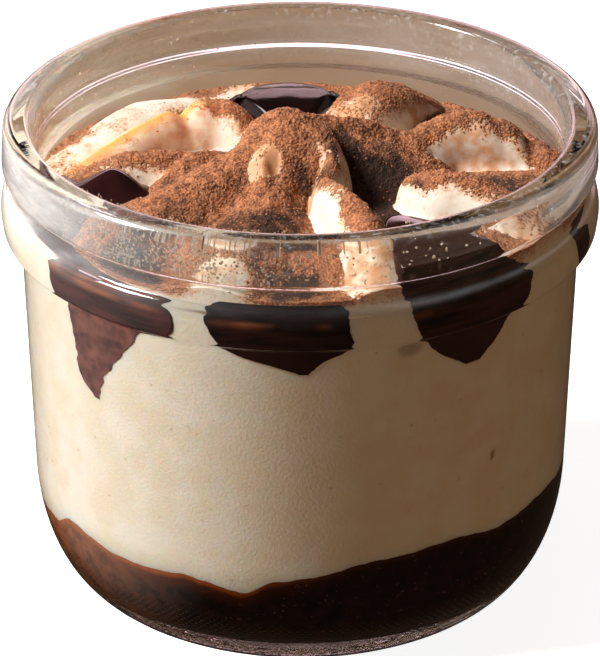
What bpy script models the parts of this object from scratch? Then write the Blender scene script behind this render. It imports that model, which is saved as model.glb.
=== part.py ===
"""A layered dessert cup, built together with its clear glass jar.

The glass is one turned wall with a ribbed lip. From the floor up it holds a
coffee-soaked layer, a deep cream layer, a piped cream swirl and five runs of
dark sauce that lie between the cream and the glass or pool between the ribs.

Sizes are in millimetres and angles in degrees. Angle 0 points along +X, and
-90 is the front. Lengths turn into metres only where a mesh is written.
"""
import math
from dataclasses import dataclass

import bmesh
import bpy
import numpy as np

MM = 0.001

# Room left between two pieces that touch in the real cup
GAP = 0.3

# Glass, outside, from the rim down
RIM_Z = 76.4
MOUTH_RADIUS = 41.4
RIM_FLAT_RADIUS = 44.2
LIP_TOP_RADIUS = 45.3
LIP_TOP_Z = 75.4
LIP_LOW_RADIUS = 45.6
LIP_LOW_Z = 69.4
NECK_RADIUS = 44.1
FLANGE_TOP_Z = 65.6
FLANGE_RADIUS = 46.0
FLANGE_WIDEST_Z = 62.6
FLANGE_LOW_RADIUS = 45.6
FLANGE_LOW_Z = 59.4
BODY_TOP_RADIUS = 43.0
BODY_TOP_Z = 58.0
BODY_LOW_RADIUS = 41.9
CORNER_Z = 19.5
FOOT_RADIUS = 32.3
PUNT_RADIUS = 28.5
PUNT_RISE = 0.9

# Glass, inside
INNER_TOP_RADIUS = 40.6
INNER_TOP_Z = 74.4
INNER_MID_RADIUS = 40.2
INNER_MID_Z = 58.0
INNER_LOW_RADIUS = 39.1
INNER_CORNER_Z = 20.0
FLOOR_RADIUS = 29.5
FLOOR_Z = 4.6

# Layers
CREAM_EDGE_Z = 62.5
ROOF_Z = 84.0
SEGMENTS = 64
SWIRL_SEGMENTS = 80
SWIRL_RINGS = 22

# Height of the soaked layer's edge on the glass, by angle, all the way round
SOAKED_EDGE = (
    (-170.0, 13.6), (-158.0, 14.0), (-150.0, 16.8), (-134.0, 15.8), (-114.0, 16.2),
    (-102.0, 15.0), (-95.0, 17.6), (-74.0, 20.1), (-56.0, 20.9), (-40.0, 19.3),
    (-26.0, 20.0), (-8.0, 19.0), (15.0, 17.6), (45.0, 19.6), (80.0, 16.8),
    (110.0, 18.6), (145.0, 15.8),
)
SOAKED_MIDDLE_Z = 17.5


@dataclass(frozen=True)
class Rib:
    """One piped rib, laid along a smooth line on the cream.

    Each of its points is a place, the height of the crest there and the half
    width. A low roundness gives steep sides, and one over 1 gives soft slopes.
    """

    points: tuple
    roundness: float = 0.85


@dataclass(frozen=True)
class SauceRing:
    """One level of a sauce run: its height and its span in angle and radius."""

    z: float
    angle_from: float
    angle_to: float
    inner: float
    outer: float


# The swirl's ground between the ribs: its middle, and its edge on the glass by angle
GROUND_MIDDLE = 66.0
GROUND_MIDDLE_RADIUS = 27.0
GROUND_SLOPE_WIDTH = 13.0
GROUND_EDGE = (
    (-180.0, 65.6), (-146.0, 66.2), (-128.0, 65.2), (-78.0, 65.2), (-64.0, 66.6),
    (-40.0, 67.0), (5.0, 66.8), (30.0, 64.4), (60.0, 63.2), (100.0, 63.8),
    (135.0, 63.6), (160.0, 64.6), (180.0, 65.6),
)

# The tall hump in the middle, and the ribs and slopes round it, from the back left
RIBS = (
    Rib(((-2.2, -3.0, 77.9, 9.2), (-0.8, -4.6, 77.3, 9.4)), 0.62),
    Rib(((-8.1, 10.6, 69.6, 3.8), (-10.5, 12.4, 72.4, 4.6), (-14.0, 13.0, 72.8, 4.8),
         (-19.0, 11.4, 72.0, 4.8), (-24.5, 7.6, 70.7, 4.6), (-29.5, 3.4, 69.1, 4.2),
         (-35.0, -1.5, 66.6, 3.6))),
    Rib(((-18.0, 21.0, 69.0, 4.0), (-25.0, 18.0, 69.6, 4.6), (-30.0, 12.5, 68.6, 4.6),
         (-35.5, 5.0, 66.4, 4.0))),
    Rib(((-13.5, -2.4, 70.0, 3.4), (-19.3, -2.8, 71.3, 4.2), (-25.4, -3.4, 71.3, 4.4),
         (-31.0, -4.4, 69.6, 4.2), (-37.0, -6.6, 66.8, 3.6))),
    Rib(((-12.0, -3.0, 71.0, 3.8), (-16.0, -5.4, 71.9, 4.4), (-20.6, -9.8, 69.4, 3.8))),
    Rib(((-4.0, -4.0, 75.4, 7.0), (-11.0, -9.6, 72.8, 8.4), (-18.0, -16.4, 71.3, 8.6),
         (-26.0, -21.5, 69.6, 7.4), (-32.0, -25.0, 66.8, 6.0)), 1.1),
    Rib(((-3.4, -7.0, 75.8, 4.6), (-5.6, -10.4, 74.2, 3.4), (-5.2, -14.0, 70.4, 2.8)), 0.7),
    Rib(((-5.0, -18.0, 69.0, 6.0), (-8.0, -24.0, 69.8, 7.0), (-10.6, -32.0, 69.4, 7.0),
         (-12.0, -38.0, 66.6, 6.0)), 1.0),
    Rib(((3.6, -6.6, 75.6, 4.8), (4.8, -10.4, 74.0, 4.0), (3.9, -15.0, 72.8, 3.8),
         (6.0, -19.5, 73.3, 4.2), (8.6, -24.2, 72.7, 4.6), (10.6, -29.5, 71.2, 5.0),
         (11.2, -37.0, 66.8, 4.8))),
    Rib(((17.0, -11.4, 71.4, 3.8), (21.0, -13.8, 73.0, 5.2), (25.5, -15.0, 72.7, 5.6),
         (30.5, -17.2, 70.8, 5.4), (35.5, -20.0, 67.6, 4.6))),
    Rib(((2.0, 0.0, 75.8, 5.4), (8.0, 2.0, 74.6, 4.9), (12.8, 2.8, 72.8, 4.2),
         (17.3, 2.8, 71.2, 3.7)), 0.8),
    Rib(((4.0, -3.0, 74.4, 8.6), (11.0, -1.0, 72.0, 9.4), (18.0, -1.5, 69.6, 7.0)), 1.25),
    Rib(((17.3, 3.2, 71.2, 4.6), (20.6, 5.0, 72.8, 5.2), (25.2, 6.0, 73.7, 5.6),
         (30.3, 5.8, 73.0, 5.4), (34.2, 4.8, 70.4, 4.6), (38.0, 3.6, 68.2, 4.2))),
    Rib(((6.4, 9.5, 69.0, 5.6), (9.6, 15.6, 72.4, 7.4), (12.8, 21.5, 71.4, 7.8),
         (17.0, 28.5, 66.2, 7.0))),
)
RIB_STEPS = 40
# How wide the soft fillet is where two ribs meet
FILLET = 1.8

# The wall radius is written as the inner glass less the gap
ON_GLASS = 0.0

SAUCES = {
    "sauce_left": (
        SauceRing(42.6, -138.4, -136.2, 38.7, ON_GLASS),
        SauceRing(46.4, -143.2, -135.0, 38.0, ON_GLASS),
        SauceRing(50.0, -144.0, -131.4, 37.5, ON_GLASS),
        SauceRing(54.4, -145.4, -126.2, 36.9, ON_GLASS),
        SauceRing(58.0, -146.8, -116.6, 36.3, ON_GLASS),
        SauceRing(61.6, -150.0, -116.0, 35.2, ON_GLASS),
        SauceRing(64.6, -163.0, -135.0, 30.5, ON_GLASS),
        SauceRing(69.6, -166.0, -144.5, 25.5, ON_GLASS),
    ),
    "sauce_front": (
        SauceRing(53.4, -91.0, -86.8, 38.8, ON_GLASS),
        SauceRing(55.2, -98.5, -85.0, 38.2, ON_GLASS),
        SauceRing(56.6, -105.0, -79.6, 37.4, ON_GLASS),
        SauceRing(61.0, -109.0, -79.4, 36.4, ON_GLASS),
        SauceRing(64.8, -106.0, -82.0, 35.0, ON_GLASS),
    ),
    "sauce_right": (
        SauceRing(51.2, -55.0, -48.4, 38.6, ON_GLASS),
        SauceRing(53.8, -60.0, -45.4, 38.0, ON_GLASS),
        SauceRing(57.6, -64.8, -41.0, 37.2, ON_GLASS),
        SauceRing(61.4, -67.4, -36.4, 35.6, ON_GLASS),
        SauceRing(65.4, -69.6, -44.0, 31.0, ON_GLASS),
        SauceRing(70.0, -70.0, -48.0, 26.0, ON_GLASS),
    ),
    "sauce_far_right": (
        SauceRing(56.8, -16.6, -13.6, 38.8, ON_GLASS),
        SauceRing(60.4, -19.6, -11.6, 38.0, ON_GLASS),
        SauceRing(65.2, -19.0, -10.0, 36.0, ON_GLASS),
    ),
    "sauce_rear": (
        SauceRing(61.5, 90.0, 104.0, 22.0, 28.0),
        SauceRing(64.0, 84.0, 110.0, 19.0, 31.0),
        SauceRing(67.8, 77.0, 116.0, 15.0, 32.8),
    ),
}
SAUCE_DOME = {
    "sauce_left": 1.2, "sauce_front": 0.3, "sauce_right": 0.5,
    "sauce_far_right": 0.3, "sauce_rear": 0.8,
}
SAUCE_POINTS = 28
SAUCE_SQUARENESS = 0.45

# Colours as linear red, green and blue
GLASS_COLOUR = (0.86, 0.90, 0.88)
SOAKED_COLOUR = (0.035, 0.011, 0.006)
CREAM_COLOUR = (0.80, 0.66, 0.46)
SAUCE_COLOUR = (0.022, 0.008, 0.006)


def clear_scene():
    """Remove whatever the file opened with."""
    for item in list(bpy.data.objects):
        bpy.data.objects.remove(item, do_unlink=True)


def make_material(name, colour, roughness, transmission=0.0):
    """Return a Principled material."""
    material = bpy.data.materials.new(name)
    material.use_nodes = True
    shader = material.node_tree.nodes["Principled BSDF"]
    shader.inputs["Base Color"].default_value = (*colour, 1.0)
    shader.inputs["Roughness"].default_value = roughness
    shader.inputs["Transmission Weight"].default_value = transmission
    material.diffuse_color = (*colour, 1.0)
    return material


def polar(radius, degrees, z):
    """Return a point in metres from a radius, an angle and a height."""
    turn = math.radians(degrees)
    return (radius * math.cos(turn) * MM, radius * math.sin(turn) * MM, z * MM)


def mix(first, second, share):
    """Return the value a share of the way from the first to the second."""
    return first + (second - first) * share


def ease(share):
    """Return a share between 0 and 1 with a soft start and end."""
    share = min(max(share, 0.0), 1.0)
    return share * share * (3.0 - 2.0 * share)


def arc(centre_r, centre_z, size_r, size_z, start, end, steps):
    """Return points on an elliptical arc, without its first point."""
    points = []
    for step in range(1, steps + 1):
        angle = math.radians(mix(start, end, step / steps))
        points.append((centre_r + size_r * math.cos(angle),
                       centre_z + size_z * math.sin(angle)))
    return points


def jar_profile():
    """Return the glass wall's section, from the axis below to the axis above."""
    corner_width = BODY_LOW_RADIUS - FOOT_RADIUS
    inner_width = INNER_LOW_RADIUS - FLOOR_RADIUS
    shoulder_r = LIP_TOP_RADIUS - RIM_FLAT_RADIUS
    shoulder_z = RIM_Z - LIP_TOP_Z
    outside = [(0.0, PUNT_RISE), (PUNT_RADIUS, PUNT_RISE), (PUNT_RADIUS + 1.0, 0.0)]
    outside.append((FOOT_RADIUS, 0.0))
    outside += arc(FOOT_RADIUS, CORNER_Z, corner_width, CORNER_Z, -90.0, 0.0, 7)
    outside.append((BODY_TOP_RADIUS, BODY_TOP_Z))
    outside.append((FLANGE_LOW_RADIUS - 0.7, FLANGE_LOW_Z - 0.5))
    outside.append((FLANGE_LOW_RADIUS, FLANGE_LOW_Z))
    outside.append((FLANGE_RADIUS, FLANGE_WIDEST_Z))
    outside.append((FLANGE_RADIUS - 0.5, FLANGE_TOP_Z - 0.7))
    outside.append((NECK_RADIUS + 0.2, FLANGE_TOP_Z))
    outside.append((NECK_RADIUS, FLANGE_TOP_Z + 1.5))
    outside.append((NECK_RADIUS + 0.3, LIP_LOW_Z - 0.7))
    outside.append((LIP_LOW_RADIUS, LIP_LOW_Z))
    outside.append((LIP_TOP_RADIUS, LIP_TOP_Z))
    outside += arc(RIM_FLAT_RADIUS, LIP_TOP_Z, shoulder_r, shoulder_z, 0.0, 90.0, 3)
    inside = [(MOUTH_RADIUS + 0.2, RIM_Z), (MOUTH_RADIUS - 0.2, RIM_Z - 0.5)]
    inside.append((INNER_TOP_RADIUS, INNER_TOP_Z))
    inside.append((INNER_MID_RADIUS, INNER_MID_Z))
    inside.append((INNER_LOW_RADIUS, INNER_CORNER_Z))
    inside += arc(FLOOR_RADIUS, INNER_CORNER_Z, inner_width,
                  INNER_CORNER_Z - FLOOR_Z, 0.0, -90.0, 5)
    inside.append((0.0, FLOOR_Z))
    return outside + inside


def inner_wall(z):
    """Return the glass wall's inner radius at a height."""
    if z >= INNER_MID_Z:
        share = (z - INNER_MID_Z) / (INNER_TOP_Z - INNER_MID_Z)
        return mix(INNER_MID_RADIUS, INNER_TOP_RADIUS, min(share, 1.0))
    if z >= INNER_CORNER_Z:
        share = (z - INNER_CORNER_Z) / (INNER_MID_Z - INNER_CORNER_Z)
        return mix(INNER_LOW_RADIUS, INNER_MID_RADIUS, share)
    drop = (INNER_CORNER_Z - z) / (INNER_CORNER_Z - FLOOR_Z)
    width = INNER_LOW_RADIUS - FLOOR_RADIUS
    return FLOOR_RADIUS + width * math.sqrt(max(0.0, 1.0 - drop * drop))


def soaked_edge(degrees):
    """Return the soaked layer's height on the glass at an angle."""
    count = len(SOAKED_EDGE)
    for index in range(count):
        start, low = SOAKED_EDGE[index]
        end, high = SOAKED_EDGE[(index + 1) % count]
        span = (end - start) % 360.0
        past = (degrees - start) % 360.0
        if past <= span:
            return mix(low, high, ease(past / span))
    return SOAKED_EDGE[0][1]


def rib_line(rib):
    """Return places, crest heights and half widths at even steps along a rib."""
    given = np.array(rib.points)
    padded = np.vstack([2 * given[0] - given[1], given, 2 * given[-1] - given[-2]])
    at = np.linspace(0.0, len(given) - 1.000001, RIB_STEPS)
    first = at.astype(int)
    t = (at - first)[:, None]
    p0, p1, p2, p3 = (padded[first + step] for step in range(4))
    bent = (2 * p0 - 5 * p1 + 4 * p2 - p3) * t ** 2 + (3 * p1 - p0 - 3 * p2 + p3) * t ** 3
    line = 0.5 * (2 * p1 + (p2 - p0) * t + bent)
    return line[:, :2], line[:, 2], line[:, 3]


RIB_LINES = [(rib_line(rib), rib.roundness) for rib in RIBS]


def ground_height(x, y):
    """Return the height of the cream between the ribs at a point."""
    degrees = math.degrees(math.atan2(y, x))
    angles, heights = zip(*GROUND_EDGE)
    outward = ease((math.hypot(x, y) - GROUND_MIDDLE_RADIUS) / GROUND_SLOPE_WIDTH)
    return mix(GROUND_MIDDLE, float(np.interp(degrees, angles, heights)), outward)


def join_heights(first, second):
    """Return the higher of two heights, with a small fillet where they are near."""
    fillet = FILLET * min(1.0, max(0.0, min(first, second)) / 1.5) + 1e-6
    near = max(0.0, 1.0 - abs(first - second) / fillet)
    return max(first, second) + near * near * fillet * 0.25


def swirl_height(x, y):
    """Return the height of the swirl's top at a point."""
    ground = ground_height(x, y)
    rise = 0.0
    for (line, crest, width), roundness in RIB_LINES:
        aside = np.hypot(line[:, 0] - x, line[:, 1] - y) / width
        section = np.clip(1.0 - aside * aside, 0.0, 1.0) ** roundness
        rise = join_heights(rise, float(np.max((crest - ground) * section)))
    return ground + rise


def polar_ring(radius_at, z_at, segments):
    """Return one ring of points, its radius and height given by angle."""
    ring = []
    for step in range(segments):
        degrees = 360.0 * step / segments
        ring.append(polar(radius_at(degrees), degrees, z_at(degrees)))
    return ring


def loft(name, rings, bottom, top, material):
    """Join rings from the bottom up into one closed solid with two middle points.

    The sides are triangles, so that a sauce run and its room are split alike.
    """
    mesh = bmesh.new()
    levels = [[mesh.verts.new(point) for point in ring] for ring in rings]
    count = len(rings[0])
    for lower, upper in zip(levels, levels[1:]):
        for step in range(count):
            after = (step + 1) % count
            mesh.faces.new((lower[step], lower[after], upper[after]))
            mesh.faces.new((lower[step], upper[after], upper[step]))
    low, high = mesh.verts.new(bottom), mesh.verts.new(top)
    for step in range(count):
        after = (step + 1) % count
        mesh.faces.new((low, levels[0][after], levels[0][step]))
        mesh.faces.new((high, levels[-1][step], levels[-1][after]))
    return add_object(name, mesh, material)


def add_object(name, mesh, material):
    """Turn an edit mesh into a smooth-shaded object of the scene."""
    bmesh.ops.recalc_face_normals(mesh, faces=mesh.faces)
    data = bpy.data.meshes.new(name)
    mesh.to_mesh(data)
    mesh.free()
    data.shade_smooth()
    data.set_sharp_from_angle(angle=math.radians(50.0))
    data.materials.append(material)
    item = bpy.data.objects.new(name, data)
    bpy.context.collection.objects.link(item)
    return item


def make_jar(material):
    """Build the glass by turning its wall's section round the axis."""
    profile = jar_profile()
    rings = [polar_ring(lambda _, r=r: r, lambda _, z=z: z, SEGMENTS)
             for r, z in profile[1:-1]]
    low, high = profile[0], profile[-1]
    return loft("jar", rings, polar(0.0, 0.0, low[1]), polar(0.0, 0.0, high[1]), material)


def make_soaked_layer(material):
    """Build the dark layer that fills the rounded bottom of the glass."""
    bottom = FLOOR_Z + GAP
    shares = (0.0, 0.07, 0.2, 0.4, 0.7, 1.0)
    rings = [polar_ring(lambda _: FLOOR_RADIUS * 0.96, lambda _: bottom, SEGMENTS)]
    for share in shares[1:]:
        def height(degrees, share=share):
            return mix(bottom, soaked_edge(degrees) - 0.3, share)

        def radius(degrees, height=height):
            return inner_wall(height(degrees) - GAP) - GAP
        rings.append(polar_ring(radius, height, SEGMENTS))
    for reach in (0.985, 0.8, 0.45):
        def top_radius(_, reach=reach):
            return reach * (INNER_LOW_RADIUS - 1.2)

        def top_height(degrees, reach=reach):
            return mix(SOAKED_MIDDLE_Z, soaked_edge(degrees), reach)
        rings.append(polar_ring(top_radius, top_height, SEGMENTS))
    return loft("coffee_layer", rings, polar(0.0, 0.0, bottom),
                polar(0.0, 0.0, SOAKED_MIDDLE_Z), material)


def make_cream_layer(material):
    """Build the deep cream layer on the soaked layer's wavy top."""
    rings = []
    for reach in (0.45, 0.8):
        def low_height(degrees, reach=reach):
            return mix(SOAKED_MIDDLE_Z, soaked_edge(degrees), reach) + GAP
        rings.append(polar_ring(lambda _, reach=reach: reach * (INNER_LOW_RADIUS - 1.2),
                                low_height, SEGMENTS))
    for share in (0.0, 0.02, 0.25, 0.5, 0.75, 0.9, 1.0):
        def height(degrees, share=share):
            return mix(soaked_edge(degrees) + GAP, CREAM_EDGE_Z, share)

        def radius(degrees, height=height):
            return inner_wall(height(degrees)) - GAP
        rings.append(polar_ring(radius, height, SEGMENTS))
    rings.append(polar_ring(lambda _: 20.0, lambda _: CREAM_EDGE_Z, SEGMENTS))
    return loft("cream_layer", rings, polar(0.0, 0.0, SOAKED_MIDDLE_Z + GAP),
                polar(0.0, 0.0, CREAM_EDGE_Z), material)


def make_swirl(material):
    """Build the piped swirl as one solid from its flat underside to its crests."""
    edge = inner_wall(CREAM_EDGE_Z) - GAP
    bottom = CREAM_EDGE_Z + GAP
    rings = [polar_ring(lambda _: edge * 0.5, lambda _: bottom, SWIRL_SEGMENTS),
             polar_ring(lambda _: edge, lambda _: bottom, SWIRL_SEGMENTS)]
    for step in range(SWIRL_RINGS, 0, -1):
        radius = edge * step / SWIRL_RINGS

        def height(degrees, radius=radius):
            turn = math.radians(degrees)
            return swirl_height(radius * math.cos(turn), radius * math.sin(turn))
        rings.append(polar_ring(lambda _, radius=radius: radius, height, SWIRL_SEGMENTS))
    return loft("cream_swirl", rings, polar(0.0, 0.0, bottom),
                polar(0.0, 0.0, swirl_height(0.0, 0.0)), material)


def sauce_ring(ring, grow):
    """Return one level of a sauce run as a rounded outline that follows the glass."""
    wall = inner_wall(ring.z) - GAP
    outer = ring.outer if ring.outer else wall + (2.0 if grow else 0.0)
    outer += grow if ring.outer else 0.0
    inner = ring.inner - grow
    middle_r, half_r = (outer + inner) / 2.0, (outer - inner) / 2.0
    middle_a = (ring.angle_from + ring.angle_to) / 2.0
    half_a = (ring.angle_to - ring.angle_from) / 2.0 + math.degrees(grow / middle_r)
    points = []
    for step in range(SAUCE_POINTS):
        turn = 2.0 * math.pi * step / SAUCE_POINTS
        across, along = math.cos(turn), math.sin(turn)
        across = math.copysign(abs(across) ** SAUCE_SQUARENESS, across)
        along = math.copysign(abs(along) ** SAUCE_SQUARENESS, along)
        points.append(polar(middle_r + half_r * along, middle_a - half_a * across, ring.z))
    return points


def ring_centre(points, z):
    """Return the middle of a ring at a height given in millimetres."""
    count = len(points)
    return (sum(p[0] for p in points) / count, sum(p[1] for p in points) / count, z * MM)


def make_sauce(name, levels, material):
    """Build one sauce run with a softly domed top."""
    rings = [sauce_ring(level, 0.0) for level in levels]
    top_z = levels[-1].z
    dome = SAUCE_DOME[name]
    middle = ring_centre(rings[-1], top_z)
    for share in (0.75, 0.4):
        lift = dome * (1.0 - share * share) * MM
        rings.append([(mix(middle[0], x, share), mix(middle[1], y, share), z + lift)
                      for x, y, z in rings[len(levels) - 1]])
    bottom = ring_centre(rings[0], levels[0].z - 0.4)
    return loft(name, rings, bottom, ring_centre(rings[-1], top_z + dome), material)


def make_sauce_cutter(name, levels):
    """Build the room that a sauce run takes up in the cream, open above."""
    rings = [sauce_ring(level, GAP) for level in levels]
    top = [(x, y, ROOF_Z * MM) for x, y, _ in rings[-1]]
    bottom = ring_centre(rings[0], levels[0].z - 0.4 - GAP)
    cutter = loft(name + "_room", rings + [top], bottom, ring_centre(top, ROOF_Z), None)
    cutter.hide_render = True
    cutter.display_type = "WIRE"
    return cutter


def cut_room(solid, cutter):
    """Cut the room for a sauce run out of a cream solid."""
    cut = solid.modifiers.new(cutter.name, "BOOLEAN")
    cut.operation = "DIFFERENCE"
    cut.solver = "EXACT"
    cut.object = cutter


def main():
    """Build the cup from the glass inwards."""
    clear_scene()
    glass = make_material("glass", GLASS_COLOUR, 0.02, transmission=1.0)
    soaked = make_material("soaked_sponge", SOAKED_COLOUR, 0.45)
    cream = make_material("cream", CREAM_COLOUR, 0.55)
    sauce = make_material("sauce", SAUCE_COLOUR, 0.12)
    make_jar(glass)
    make_soaked_layer(soaked)
    layer = make_cream_layer(cream)
    swirl = make_swirl(cream)
    for name, levels in SAUCES.items():
        make_sauce(name, levels, sauce)
        cutter = make_sauce_cutter(name, levels)
        cut_room(layer, cutter)
        cut_room(swirl, cutter)


main()
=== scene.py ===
"""Looks of a layered dessert cup that was filled into a clear glass jar.

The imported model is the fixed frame, and each soft or filled piece of it is replaced here
by a finer one in the same place. Sizes are in millimetres and angles in degrees, with -90
at the shown front; lengths turn into metres where a mesh is written.
"""

import logging
import math
from dataclasses import dataclass, field
from enum import Enum

import bpy
import numpy as np
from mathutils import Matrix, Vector, noise


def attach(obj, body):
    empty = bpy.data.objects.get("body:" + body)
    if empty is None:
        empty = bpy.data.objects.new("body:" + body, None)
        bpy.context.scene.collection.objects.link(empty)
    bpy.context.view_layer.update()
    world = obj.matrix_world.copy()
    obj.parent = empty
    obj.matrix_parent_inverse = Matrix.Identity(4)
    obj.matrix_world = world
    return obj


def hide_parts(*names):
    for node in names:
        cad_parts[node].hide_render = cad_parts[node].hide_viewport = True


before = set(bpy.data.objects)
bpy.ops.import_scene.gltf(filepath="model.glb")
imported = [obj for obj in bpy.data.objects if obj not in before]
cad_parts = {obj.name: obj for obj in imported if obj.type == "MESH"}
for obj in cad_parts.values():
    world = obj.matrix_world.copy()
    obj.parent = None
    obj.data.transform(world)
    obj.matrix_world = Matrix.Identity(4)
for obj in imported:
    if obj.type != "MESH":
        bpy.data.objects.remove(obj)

LOG = logging.getLogger("dessert_cup")
MM = 0.001
IMAGE_HEIGHT = 656

Colour = tuple[float, float, float, float]
Point = tuple[float, float, float]
Inputs = dict[str | int, object] | tuple[object, ...]

# The shader nodes that recur, and the options that they take here
MATH, MIX, RANGE = "ShaderNodeMath", "ShaderNodeMix", "ShaderNodeMapRange"
NOISE, RAMP, BUMP = "ShaderNodeTexNoise", "ShaderNodeValToRGB", "ShaderNodeBump"
SPLIT, STORED = "ShaderNodeSeparateXYZ", "ShaderNodeAttribute"
EASED = {"interpolation_type": "SMOOTHSTEP"}
COLOURS = {"data_type": "RGBA"}
# How strong each finer layer of a noise is
FINER = 0.55


# Small tools that every class uses

def linear(code: str) -> Colour:
    """Turn an sRGB hex value into linear red, green, blue and full alpha.

    Args:
        code: the colour as "#RRGGBB".

    Returns:
        The linear colour.
    """
    parts = [int(code[at:at + 2], 16) / 255.0 for at in (1, 3, 5)]
    r, g, b = (p / 12.92 if p <= 0.04045 else ((p + 0.055) / 1.055) ** 2.4 for p in parts)
    return (r, g, b, 1.0)


def smooth(low: float, high: float, value: np.ndarray) -> np.ndarray:
    """Ease from 0 at low to 1 at high.

    Args:
        low: where the rise starts.
        high: where the rise ends.
        value: the values to ease.

    Returns:
        Shares between 0 and 1.
    """
    share = np.clip((value - low) / (high - low), 0.0, 1.0)
    return share * share * (3.0 - 2.0 * share)


def clumps(x: np.ndarray, y: np.ndarray, size: float, seed: float, octaves: int = 3) -> np.ndarray:
    """Sample soft noise at flat places.

    Args:
        x: places along X.
        y: places along Y.
        size: the width of the largest clumps.
        seed: which noise this is.
        octaves: how many finer layers it has.

    Returns:
        Values between about -1 and 1.
    """
    flat = [noise.fractal(Vector((a / size, b / size, seed)), 1.0, 2.0, octaves)
            for a, b in zip(x.ravel(), y.ravel())]
    return np.array(flat).reshape(x.shape)


def polar(radius: np.ndarray, degrees: np.ndarray, z: np.ndarray) -> np.ndarray:
    """Turn radius, angle and height into points in metres.

    Args:
        radius: distances from the axis.
        degrees: angles round it.
        z: heights.

    Returns:
        An array whose last axis is x, y and z.
    """
    turn = np.radians(degrees)
    return np.stack(np.broadcast_arrays(radius * np.cos(turn), radius * np.sin(turn), z), -1) * MM


def loft(name: str, rings: np.ndarray, low: Point, high: Point) -> bpy.types.Object:
    """Join rings, which run counterclockwise, into one closed mesh.

    Args:
        name: the piece's name.
        rings: points in metres, as ring by place by coordinate.
        low: the point that closes the first ring.
        high: the point that closes the last one.

    Returns:
        The new object, smooth-shaded, at the origin.
    """
    levels, count, _ = rings.shape
    points = np.vstack([rings.reshape(-1, 3), [low], [high]])
    step = np.arange(count)
    after = (step + 1) % count
    base = np.arange(levels - 1)[:, None] * count
    quads = np.stack([base + step, base + after, base + count + after, base + count + step], -1)
    last = (levels - 1) * count
    ends = [(levels * count, b, a) for a, b in zip(step, after)]
    ends += [(levels * count + 1, last + a, last + b) for a, b in zip(step, after)]
    mesh = bpy.data.meshes.new(name)
    mesh.from_pydata(points.tolist(), [], quads.reshape(-1, 4).tolist() + ends)
    mesh.shade_smooth()
    return put_in_scene(name, mesh)


def put_in_scene(name: str, mesh: bpy.types.Mesh) -> bpy.types.Object:
    """Link a mesh to the scene as an object of that name."""
    item = bpy.data.objects.new(name, mesh)
    bpy.context.scene.collection.objects.link(item)
    return item


def give_values(item: bpy.types.Object, name: str, values: np.ndarray) -> None:
    """Store one number for each point of a piece, for its material to read.

    Args:
        item: the piece.
        name: the attribute's name.
        values: the numbers, in the points' order.
    """
    layer = item.data.attributes.new(name, "FLOAT", "POINT")
    layer.data.foreach_set("value", np.asarray(values, np.float32).ravel())


def finish_piece(item: bpy.types.Object, material: bpy.types.Material, slot: str,
                 *nodes: str) -> None:
    """Dress a piece, hang it under the root and hide the solids that it stands for.

    Args:
        item: the finished piece.
        material: what it is made of.
        slot: the record's material slot; it is not used.
        nodes: the solids that it stands for.
    """
    item.data.materials.clear()
    item.data.materials.append(material)
    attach(item, "root")
    if nodes:
        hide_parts(*nodes)
    LOG.info("%s: %d faces", item.name, len(item.data.polygons))


def per_metre(millimetres: float) -> float:
    """Return how many features of that width fit into a metre, for a pattern's scale."""
    return 1.0 / (millimetres * MM)


def feed(node: bpy.types.Node, inputs: Inputs) -> None:
    """Give a node's inputs their values and links.

    Args:
        node: the node.
        inputs: what its inputs get, by name or number, or in the order of those in use. Each
            gets a value, a socket, or a node, which stands for its first output in use.
    """
    if isinstance(inputs, tuple):
        used = [at for at, socket in enumerate(node.inputs) if socket.enabled]
        inputs = dict(zip(used, inputs))
    for key, value in inputs.items():
        if isinstance(value, bpy.types.Node):
            value = next(socket for socket in value.outputs if socket.enabled)
        if isinstance(value, bpy.types.NodeSocket):
            node.id_data.links.new(value, node.inputs[key])
        else:
            node.inputs[key].default_value = value


def add_node(tree: bpy.types.NodeTree, kind: str, inputs: Inputs = (),
             stops: tuple[tuple[float, str], ...] = (), **settings: object) -> bpy.types.Node:
    """Add one node with its settings, values and links.

    Args:
        tree: the tree that gets the node.
        kind: the node's type.
        inputs: what its inputs get, as feed takes it.
        stops: places and hex colours, where it is a ramp.
        settings: the node's own options.

    Returns:
        The node.
    """
    node = tree.nodes.new(kind)
    for key, value in settings.items():
        setattr(node, key, value)
    for at, (place, code) in enumerate(stops):
        node.color_ramp.elements[at].position = place
        node.color_ramp.elements[at].color = linear(code)
    feed(node, inputs)
    return node


# Finishes

@dataclass(frozen=True)
class Finish:
    """What every finish shares: a name, a roughness and an IOR."""

    name: str = "finish"
    roughness: float = 0.5
    ior: float = 1.45

    def start(self) -> tuple[bpy.types.Material, bpy.types.NodeTree, bpy.types.Node,
                             bpy.types.NodeSocket]:
        """Make the material with its Principled shader.

        Returns:
            The material, its tree, the shader and the piece's own coordinates in metres.
        """
        material = bpy.data.materials.new(self.name)
        material.use_nodes = True
        tree = material.node_tree
        shader = tree.nodes["Principled BSDF"]
        feed(shader, {"Roughness": self.roughness, "IOR": self.ior})
        return material, tree, shader, add_node(tree, "ShaderNodeTexCoord").outputs["Object"]


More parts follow.
